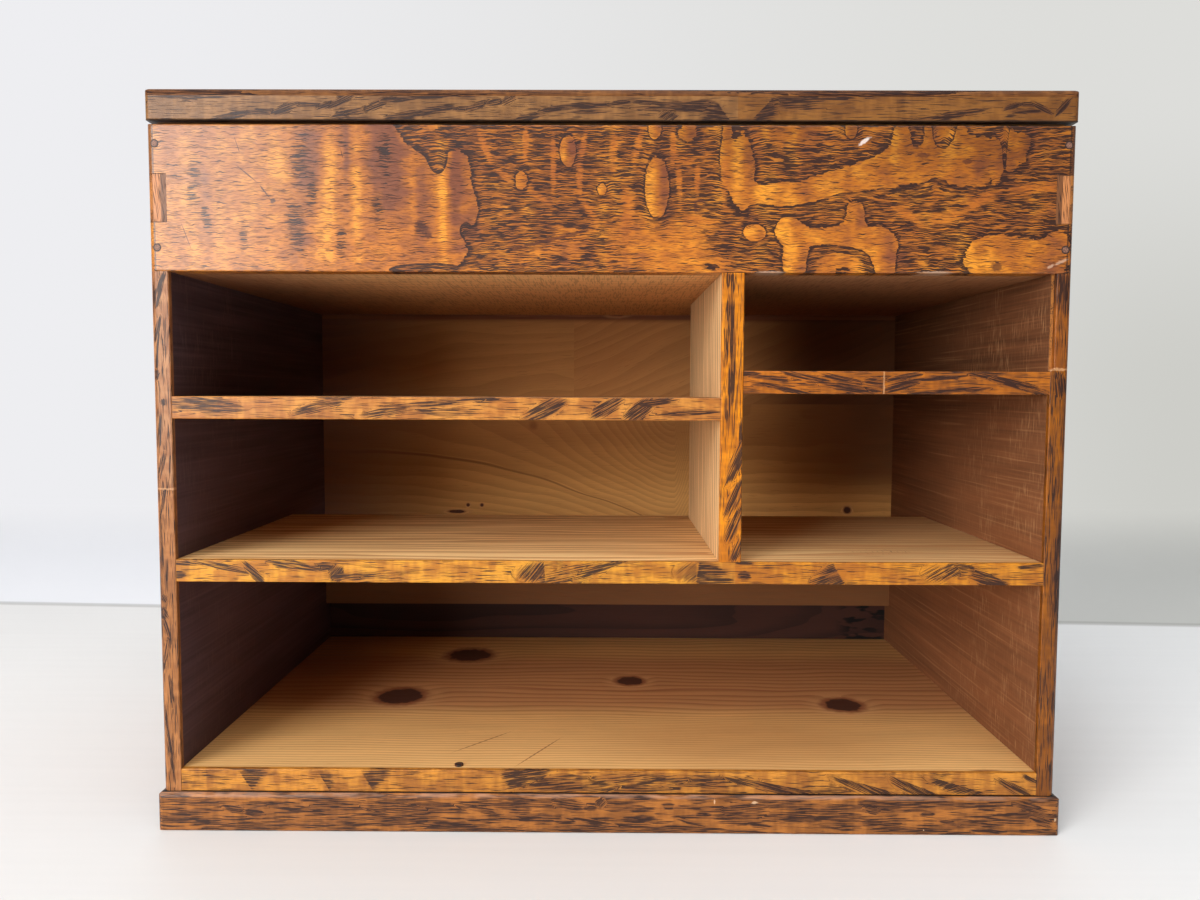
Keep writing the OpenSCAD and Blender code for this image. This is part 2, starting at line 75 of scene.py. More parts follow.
class Finish:
    """A material being made.

    x, y and z are a point's place on the box in millimetres. along, across and through are the same
    three in the order of the board's grain, which is given as their names, and spot is that place."""

    def __init__(self, name, grain="xzy"):
        self.material = bpy.data.materials.new(name)
        self.material.use_nodes = True
        self.tree = self.material.node_tree
        self.tree.nodes.clear()
        place = self.scaled(self.node("TexCoord", {}, {}, "Object"), MM_PER_METRE)
        self.x, self.y, self.z = self.parts(place)
        self.along, self.across, self.through = (getattr(self, axis) for axis in grain)
        self.spot = self.joined(self.along, self.across, self.through)
        self.front = self.joined(self.x, self.z, self.y)

    def node(self, kind, settings, values, out=0):
        """Adds a node: its settings first, then the values or links of its sockets."""
        made = self.tree.nodes.new("ShaderNode" + kind)
        for name, setting in settings.items():
            setattr(made, name, setting)
        for key, value in values.items():
            if isinstance(value, Value):
                self.tree.links.new(value.socket, made.inputs[key])
            else:
                made.inputs[key].default_value = value
        return Value(self, made.outputs[out])

    def math(self, operation, first, second=0):
        return self.node("Math", {"operation": operation}, {0: first, 1: second})

    def vector_math(self, operation, first, second, out=0):
        return self.node("VectorMath", {"operation": operation}, {0: first, 1: second}, out)

    def parts(self, vector):
        made = self.node("SeparateXYZ", {}, {0: vector}).socket.node
        return [Value(self, output) for output in made.outputs]

    def joined(self, x, y, z):
        return self.node("CombineXYZ", {}, {0: x, 1: y, 2: z})

    def scaled(self, vector, size):
        return self.node("VectorMath", {"operation": "SCALE"}, {0: vector, "Scale": size})

    def length(self, vector):
        return self.node("VectorMath", {"operation": "LENGTH"}, {0: vector}, "Value")

    def noise(self, steps, detail=1, seed=0, spot=None):
        """Soft noise of 0 to 1, in steps of so many millimetres along, across and through."""
        size = tuple(1 / step for step in steps)
        spot = self.vector_math("MULTIPLY", spot or self.spot, size)
        if seed:
            spot = self.vector_math("ADD", spot, (seed * 7.3, seed * 3.1, seed * 5.7))
        return self.node("TexNoise", {}, {"Vector": spot, "Scale": 1, "Detail": detail})

    def rise(self, value, low, high):
        """0 at low and 1 at high, smooth between them."""
        settings = {"interpolation_type": "SMOOTHSTEP", "clamp": True}
        return self.node("MapRange", settings, {0: value, 1: low, 2: high, 3: 0, 4: 1})

    def fall(self, value, low, high):
        """1 at low and 0 at high, smooth between them."""
        return 1 - self.rise(value, low, high)

    def most(self, first, second):
        return self.math("MAXIMUM", first, second)

    def least(self, first, second):
        return self.math("MINIMUM", first, second)

    def oval(self, spot, place, reach, turn=0):
        """The spot as seen from an oval: 0 at its middle and of length 1 on its rim."""
        values = {"Vector": spot, "Location": (*place, 0), "Rotation": (0, 0, math.radians(turn)),
                  "Scale": (*reach, OVAL_DEPTH)}
        return self.node("Mapping", {"vector_type": "TEXTURE"}, values)

    def face_oval(self, so_far, x, z, reach_x, reach_z, turn=0):
        """An oval on the front face, one of many that are added up.

        It takes the sum so far as its third coordinate, where that has no weight. So the ovals are
        worked out one by one: all at once, they don't fit in the renderer's memory for a shader."""
        return self.oval(self.joined(self.x, self.z, so_far), (x, z), (reach_x, reach_z), turn)

    def within(self, oval, full, gone=1):
        """1 in the middle of an oval, up to this share of its reach, and 0 from where it is gone."""
        return self.fall(self.length(oval), full, gone)

    def bell(self, oval):
        """A soft hump over an oval: 1 at its middle, and much lower on its rim."""
        return self.math("POWER", BELL_RIM, self.vector_math("DOT_PRODUCT", oval, oval, "Value"))

    def mix(self, share, first, second):
        """The first colour where the share is 0, and the second where it is 1."""
        return self.node("Mix", {"data_type": "RGBA"}, {0: share, 6: first, 7: second}, 2)

    def shade(self, color, amount):
        """The colour made darker or lighter, by an amount around 1."""
        return self.scaled(color if isinstance(color, Value) else color[:3], amount)

    def bump(self, height, depth):
        """Relief of so many millimetres."""
        values = {"Height": height, "Distance": depth / MM_PER_METRE, "Strength": 1}
        return self.node("Bump", {}, values)

    def done(self, color, roughness, relief, **fixed):
        """The finished material. Fixed are the shader's other sockets, with _ for a space."""
        values = {"Base Color": color, "Roughness": roughness, "Normal": relief}
        for name, value in fixed.items():
            values[name.replace("_", " ")] = value
        return self.finished(self.node("BsdfPrincipled", {}, values))

    def finished(self, shader):
        output = self.tree.nodes.new("ShaderNodeOutputMaterial")
        self.tree.links.new(shader.socket, output.inputs[0])
        return self.material


def tint(red, green, blue):
    """A colour from its screen values, 0 to 255."""
    def linear(level):
        level = level / 255
        return level / 12.92 if level <= 0.04045 else ((level + 0.055) / 1.055) ** 2.4
    return (linear(red), linear(green), linear(blue), 1)


# -------- stained ash

PORE = tint(36, 21, 20)


def stained_ash(f, plain_color, glow_color, dense, sway=0, wear_and_light=None, polish=1):
    """Polished ash. Its open pores lie where dense is high, shifted across the grain by sway.

    Wear paints the worn marks, and some painted highlights and shade, over its colour, and polish is how
    strongly it shines."""
    strokes = f.noise((7, 0.27, 0.27), spot=f.joined(f.along, f.across + sway, f.through))
    pores = f.rise(strokes + dense * 0.22, 0.62, 0.69)
    hairs = f.rise(f.noise((3.5, 0.22, 0.22), seed=12), 0.5, 0.66)
    fibres = f.noise((14, 0.22, 0.22), 2)
    clouds = f.noise((11, 5, 5), seed=3)
    silk = f.noise((2.2, 9, 9), seed=5)
    color = f.mix(f.rise(clouds * 0.6 + silk * 0.4, 0.38, 0.64), plain_color, glow_color)
    color = f.shade(color, 0.82 + fibres * 0.36)
    color = f.mix(dense * 0.42, color, tint(94, 54, 34))
    color = f.mix(hairs * 0.24, color, tint(78, 44, 28))
    color = f.mix(pores * 0.9, color, PORE)
    if wear_and_light:
        color = wear_and_light(f, color)
    relief = f.bump(pores * -1 - hairs * 0.4 + fibres * 0.25, 0.06)
    return f.done(color, 0.4 + pores * 0.1, relief, Specular_IOR_Level=0.2 * polish,
                  Coat_Weight=0.16 * polish, Coat_Roughness=0.22)


def ring_pores(f, height):
    """How densely the pores lie: more and more across each ring of growth, up to its sharp edge."""
    return f.rise(f.math("FRACT", height), 0.25, 0.98)


def pore_patches(f, patches):
    """How densely the pores lie, and the sway of their strokes, from patches on the front face.

    Each patch is its strength, x, z, and half its width and height. Its turn and the slope of its
    strokes may follow, in degrees, and then 1 if only its half past the middle is left, with a sharp
    end."""
    dense = sway = 0
    upright = f.along is f.z
    for strength, x, z, reach_x, reach_z, *more in patches:
        turn, slope, cut_off = (*more, 0, 0, 0)[:3]
        oval = f.face_oval(dense, x, z, reach_x, reach_z, turn)
        near = f.within(oval, 0.55, 1.12)
        if cut_off:
            near = near * f.rise(f.parts(oval)[0], -0.02, 0.05)
        dense = f.most(dense, near * strength)
        if slope:
            slant = (f.along - (z if upright else x)) * -math.tan(math.radians(slope))
            sway = (slant - sway) * f.rise(near, 0, 0.15) + sway
    return dense, sway


# The growth rings of the front panel, as humps and hollows of a height field on its face: height,
# x, z, half width, half height and any turn. A pale island shows where the height passes 1.
panel_humps = [
    (0.9, -122.6, 213.2, 49.7, 46.4), (0.6, -84.4, 206.8, 20.5, 36.4), (0.53, -73.7, 200.4, 9.9, 19.9),
    (0.75, -65.1, 206.6, 7, 21.9), (1.1, -52.3, 209.2, 6.3, 19.2), (0.6, -46.5, 207.9, 2.6, 5),
    (0.75, -29.1, 218.2, 2.3, 3.6), (1.5, -13.8, 227.5, 2.3, 4.3), (0.8, -2.7, 215.1, 1.7, 2),
    (1.5, 15.2, 214.8, 3.3, 9.6), (1, 14.4, 234.6, 2, 3), (0.58, 25.8, 233.3, 4.6, 4.3),
    (0.6, 37.5, 227.9, 2.3, 14.6), (0.9, 43.1, 222.2, 3.6, 13.2), (0.9, 55.9, 213.9, 11.3, 4, 4),
    (0.85, 73.1, 217.2, 11.3, 3.6, 13), (0.85, 87.6, 221, 11.3, 4.6, 14), (0.85, 105.4, 223.3, 16.6, 6.6, 2),
    (0.75, 121.5, 224.9, 9.3, 7.9), (0.25, 66.4, 224.8, 15.9, 3.3, 4), (0.9, 77.9, 234.4, 2.3, 3.3),
    (0.7, 94.1, 232.8, 3.3, 6.6), (0.5, 113.2, 232.9, 3, 7.3), (0.53, 103.2, 232.9, 2, 6),
    (0.43, 129.7, 231.3, 1.3, 7.3), (0.5, 133.9, 230.7, 3.3, 7.9), (1.4, 47.3, 201.4, 3, 2.2),
    (1.2, 58, 202.4, 3.6, 3.3), (0.9, 60.8, 193.3, 4.3, 7.9), (0.85, 73.4, 200.5, 13.2, 3.6),
    (0.9, 79.8, 206.9, 3, 5.6), (1.2, 89.5, 194.1, 4, 7.3), (0.53, 83.2, 198.2, 4.6, 4),
    (1.1, 126.1, 193.5, 9.9, 7.3), (1, 138.8, 191.6, 10.6, 6), (0.6, 146.1, 198.1, 4.3, 6),
]
panel_hollows = [
    (0.6, -59.3, 235.4, 8.3, 9.9), (0.6, -56.1, 224.6, 2.6, 4.3), (0.6, -60.7, 189.1, 12.6, 2.3),
    (0.6, -47.1, 201.8, 2.3, 3), (0.2, -16.4, 197.3, 31.5, 4.6, 14), (0.42, 17, 197.1, 14.9, 10.6),
    (0.5, 78.5, 213.2, 6.5, 1.5, 5), (0.3, 58.2, 233.4, 15.2, 4.6), (0.25, 83.2, 231.2, 1.7, 7.3),
    (0.6, 105.9, 216.6, 2.6, 2.3), (0.6, 108, 234.1, 3, 5), (0.6, 127.8, 230.4, 0.9, 7.9),
    (0.6, 75.9, 190.1, 8.9, 6), (0.6, 33.4, 190.7, 5.3, 2.6), (0.15, 126.5, 219.5, 13.2, 1.3, 3),
]

# Soft amber bands without pores: x, z, half width, half height and any turn.
amber_bands = [
    (-40.6, 228, 1.4, 7.5, 22), (-35.4, 220, 4.4, 1.3, -35), (-22.4, 212.2, 6, 1.3, -37),
    (-27.6, 229.5, 1.3, 7), (-18.6, 222.5, 1.2, 13), (-8.9, 229, 1.4, 7, -12), (-10, 218.5, 1.4, 7.5),
    (-7.2, 208.6, 1.7, 6, 32), (1, 228, 1.7, 8.5), (5.8, 206, 3, 16), (8.6, 228, 1.6, 8.5, -12),
    (22.4, 218, 1.3, 10, 5), (20.4, 229, 1.4, 8), (24.5, 224.6, 4.8, 1.4), (28.3, 219, 1.2, 7),
    (37.2, 219.5, 1.8, 10), (30, 205.5, 9, 1.5, -6), (96.5, 207.5, 9.5, 2.2, -25),
    (109.5, 206.5, 8, 2.8, 15), (121, 212.3, 9, 2.2, 25), (139, 216, 12, 2.2, 4),
]

# Upright bands of pores at the curled left end: x, z, half width, half height and any turn.
curl_pores = [
    (-136, 217, 3.2, 17, -4), (-132, 205, 2.2, 8, 8), (-101, 225, 4.6, 14), (-103, 204, 4.4, 12, 10),
    (-97.5, 214, 3, 10, -8), (-73.5, 226, 3.4, 12), (-76, 209, 3, 8, 6), (-120, 200, 2, 8),
    (-88, 198, 2.5, 7), (-61.3, 202.6, 4.4, 3.8, -30),
]

# Where the curl of the quiet left end shines or lies in shade: amount, x, z, half width, half height.
curl_sheen = [
    (-0.25, -134, 222, 2.2, 10), (-0.2, -131.5, 210, 1.6, 12), (0.1, -116, 214, 9, 22),
    (0.3, -108.5, 225, 3, 12), (-0.55, -98.5, 224, 3.6, 12), (-0.4, -101.5, 203, 4.2, 11),
    (0.5, -91, 224, 2.2, 14), (0.45, -93, 203, 4.2, 13), (-0.35, -86, 227, 1.1, 9), (0.5, -83, 213, 2.2, 26),
    (-0.25, -76.5, 224, 1.4, 13), (-0.65, -72.3, 221, 2.8, 15), (0.35, -72, 197, 5, 8),
    (0.35, -64.5, 213, 1.6, 14), (0.5, -54.6, 211, 2, 18), (-0.5, -50.6, 221, 1.6, 8),
]


def panel_rings(f, uneven):
    """The height of the panel's rings of growth, and how far its face leans to the right, for the painted
    sheen.
    """
    height, lean = uneven, 0
    for rises, *place in panel_humps:
        oval = f.face_oval(height, *place)
        hump = f.bell(oval) * rises
        height = height + hump
        lean = f.parts(oval)[0] * hump + lean
    height = f.least(height, 1.25)
    for falls, *place in panel_hollows:
        height = height - f.bell(f.face_oval(height, *place)) * falls
    return height, lean


def figured_ash():
    """The front panel: pale islands in dense pores at the right, a quiet, curled left end, painted sheen over
    its rings and a painted haze at the left end.
    """
    f = Finish("figured_ash_panel")
    uneven = f.noise((13, 13, 13), seed=1) * 0.3
    uneven = uneven + f.noise((5, 5, 5), seed=2) * 0.26
    uneven = uneven + f.noise((1.7, 1.7, 1.7), seed=3) * 0.18
    uneven = uneven + f.noise((2.5, 0.5, 0.5), 0, seed=4) * 0.14 + 0.18
    height, lean = panel_rings(f, uneven)
    level = f.math("FRACT", height)
    dense = f.rise(level, 0.25, 0.6)
    for place in curl_pores:
        dense = f.most(dense, f.within(f.face_oval(dense, *place), 0.2) * 0.85)
    bare = 0
    for place in amber_bands:
        away = f.length(f.face_oval(bare, *place)) + uneven * 0.5
        bare = f.most(bare, f.fall(away, 0.5, 1.45))
    dense = dense * (1 - bare * 0.9)
    wave = f.noise((2.5, 4, 4), seed=8) * 0.9
    flow = f.across + (height - uneven) * 1.7 + wave
    strokes = f.noise((5, 0.27, 0.27), spot=f.joined(f.along, flow, f.through))
    rim = f.rise(level, 0.8, 0.95) * (1 - bare)
    pores = f.rise(strokes + dense * 0.17 + rim * 0.1, 0.62, 0.67)
    hairs = f.noise((2.4, 0.3, 0.3), seed=12, spot=f.joined(f.along, f.across + wave, f.through))
    hairs = f.rise(hairs, 0.47, 0.62)
    fibres = f.noise((12, 0.25, 0.25), 2)
    curled = f.rise(f.x, -122, -104) * f.fall(f.x, -62, -50)
    curl = (f.noise((5.2, 60, 20), seed=6) - 0.5) * (0.8 - curled * 0.4)
    for amount, *place in curl_sheen:
        curl = curl + f.bell(f.face_oval(curl, *place)) * amount
    # Painted sheen: the flanks of the rings that lean towards the light at the left are painted brighter, and
    # those that lean right darker. Glow is that painted sheen, with the curl's painted sheen and shade and
    # some random tone.
    tilt = f.least(f.most(lean * 0.6, -0.4), 0.5)
    glow = 0.55 - tilt + curl + (f.noise((7, 4, 4), seed=7) - 0.5) * 0.9
    color = f.mix(f.rise(glow, 0, 0.6), tint(116, 64, 40), tint(170, 98, 30))
    color = f.mix(f.rise(glow, 0.5, 1.05), color, tint(212, 136, 40))
    lower = f.fall(f.z, 190, 222)
    dim = f.rise(f.x, 8, 30) * f.rise(f.z, 216, 230) * (1 - dense * 0.8) * 0.3
    dim = f.rise(f.x, 30, 140) * 0.12 + dim
    color = f.shade(color, 0.88 + fibres * 0.36 + lower * 0.2 - dim)
    # Painted haze of the window's reflection over the left end, greyer and more purple towards the top.
    dulled = f.mix(f.rise(f.z, 198, 234), tint(160, 108, 58), tint(128, 90, 70))
    color = f.mix(f.fall(f.x, -150, -60) * 0.35, color, dulled)
    color = f.mix(bare * 0.5, color, tint(178, 98, 34))
    color = f.mix(dense * 0.14, color, tint(132, 74, 32))
    color = f.mix(rim * 0.3, color, tint(84, 46, 26))
    color = f.mix(hairs * (0.46 - dense * 0.16), color, tint(88, 48, 30))
    color = f.mix(pores * 0.93, color, PORE)
    color = worn_panel(f, color)
    relief = f.bump(pores * -1 - hairs * 0.4 + fibres * 0.25, 0.06)
    return f.done(color, 0.36 + pores * 0.1, relief, Specular_IOR_Level=0.22, Coat_Weight=0.38,
                  Coat_Roughness=0.2)


def marks(f, color, mark_color, spots, share):
    """Small worn or stained spots on the front face: x, z, half width, half height and any turn."""
    there = 0
    ragged = f.noise((0.9, 0.6, 0.6), seed=16) - 0.5
    for place in spots:
        away = f.length(f.face_oval(there, *place)) + ragged * 0.9
        there = f.most(there, f.fall(away, 0.45, 1))
    return f.mix(there * share, color, mark_color)


def worn_panel(f, color):
    """The scuffs, dents and scratches of the front panel, and the lines of its end joints."""
    scratches = [
        (-118.5, 219.9, 5.2, 0.3, -39), (-113.1, 214.6, 3.6, 0.3, -52), (-110.3, 211.4, 1.2, 1),
        (-121.7, 229.5, 3.5, 0.18, -72), (-87.5, 226.4, 2.1, 0.18, -77), (-139, 200.1, 5.6, 0.16, -70),
        (144.4, 187.1, 1.2, 1.6),
    ]
    scuffs = [
        (52.1, 188.6, 6.5, 0.6), (106.3, 188.7, 7, 0.6), (143.9, 190.8, 1.8, 0.6, 30),
        (147.4, 192.3, 2.8, 0.7, 24),
    ]
    knots = [
        (-61.3, 202.6, 3.3, 2.3, -30), (-62.4, 204.4, 2, 1.2, 15), (-59.4, 200.4, 1.6, 1.6),
        (101.5, 226.4, 2.8, 1.2), (115.9, 224.5, 2.2, 1.1, 10), (27.8, 209.9, 0.9, 2.2),
        (29.6, 211.6, 2.4, 0.6), (-20, 198.9, 17, 0.8, 14), (126.4, 190.6, 2.5, 1.9),
    ]
    color = marks(f, color, tint(76, 40, 29), knots, 0.75)
    color = marks(f, color, tint(62, 36, 26), scratches, 0.85)
    color = marks(f, color, tint(196, 158, 130), scuffs, 0.65)
    color = marks(f, color, tint(226, 208, 196), [(82.3, 230.8, 3, 0.8, 33)], 0.85)
    from_middle = abs(f.x)
    end_grain = f.rise(f.noise((1.6, 0.7, 1), seed=18, spot=f.joined(f.y, f.z, 0)), 0.45, 0.6)
    on_end = f.rise(from_middle, HALF_WIDTH - 0.2, HALF_WIDTH - 0.05)
    color = f.mix(on_end * (0.55 + end_grain * 0.3), color, tint(70, 40, 26))
    corner = f.rise(from_middle, HALF_WIDTH - 2.2, HALF_WIDTH - 1.7)
    color = f.mix(corner * f.rise(f.z, 206, 212) * 0.6, color, tint(92, 54, 34))
    line = f.rise(from_middle, HALF_WIDTH - 2.6, HALF_WIDTH - 2.4) * (1 - corner)
    return f.mix(line * 0.75, color, tint(46, 28, 22))


def edging(name, grain, plain, glow, patches, wear_and_light, between):
    """A strip of ash on a front edge, with its own patches of pores, and so many between them."""
    f = Finish("edging_ash_" + name, grain)
    dense, sway = pore_patches(f, patches)
    drifts = f.rise(f.noise((16, 2.2, 2.2), seed=21), 0.4, 0.56)
    dense = f.most(dense, drifts * between)
    return stained_ash(f, tint(*plain), tint(*glow), dense, sway, wear_and_light)


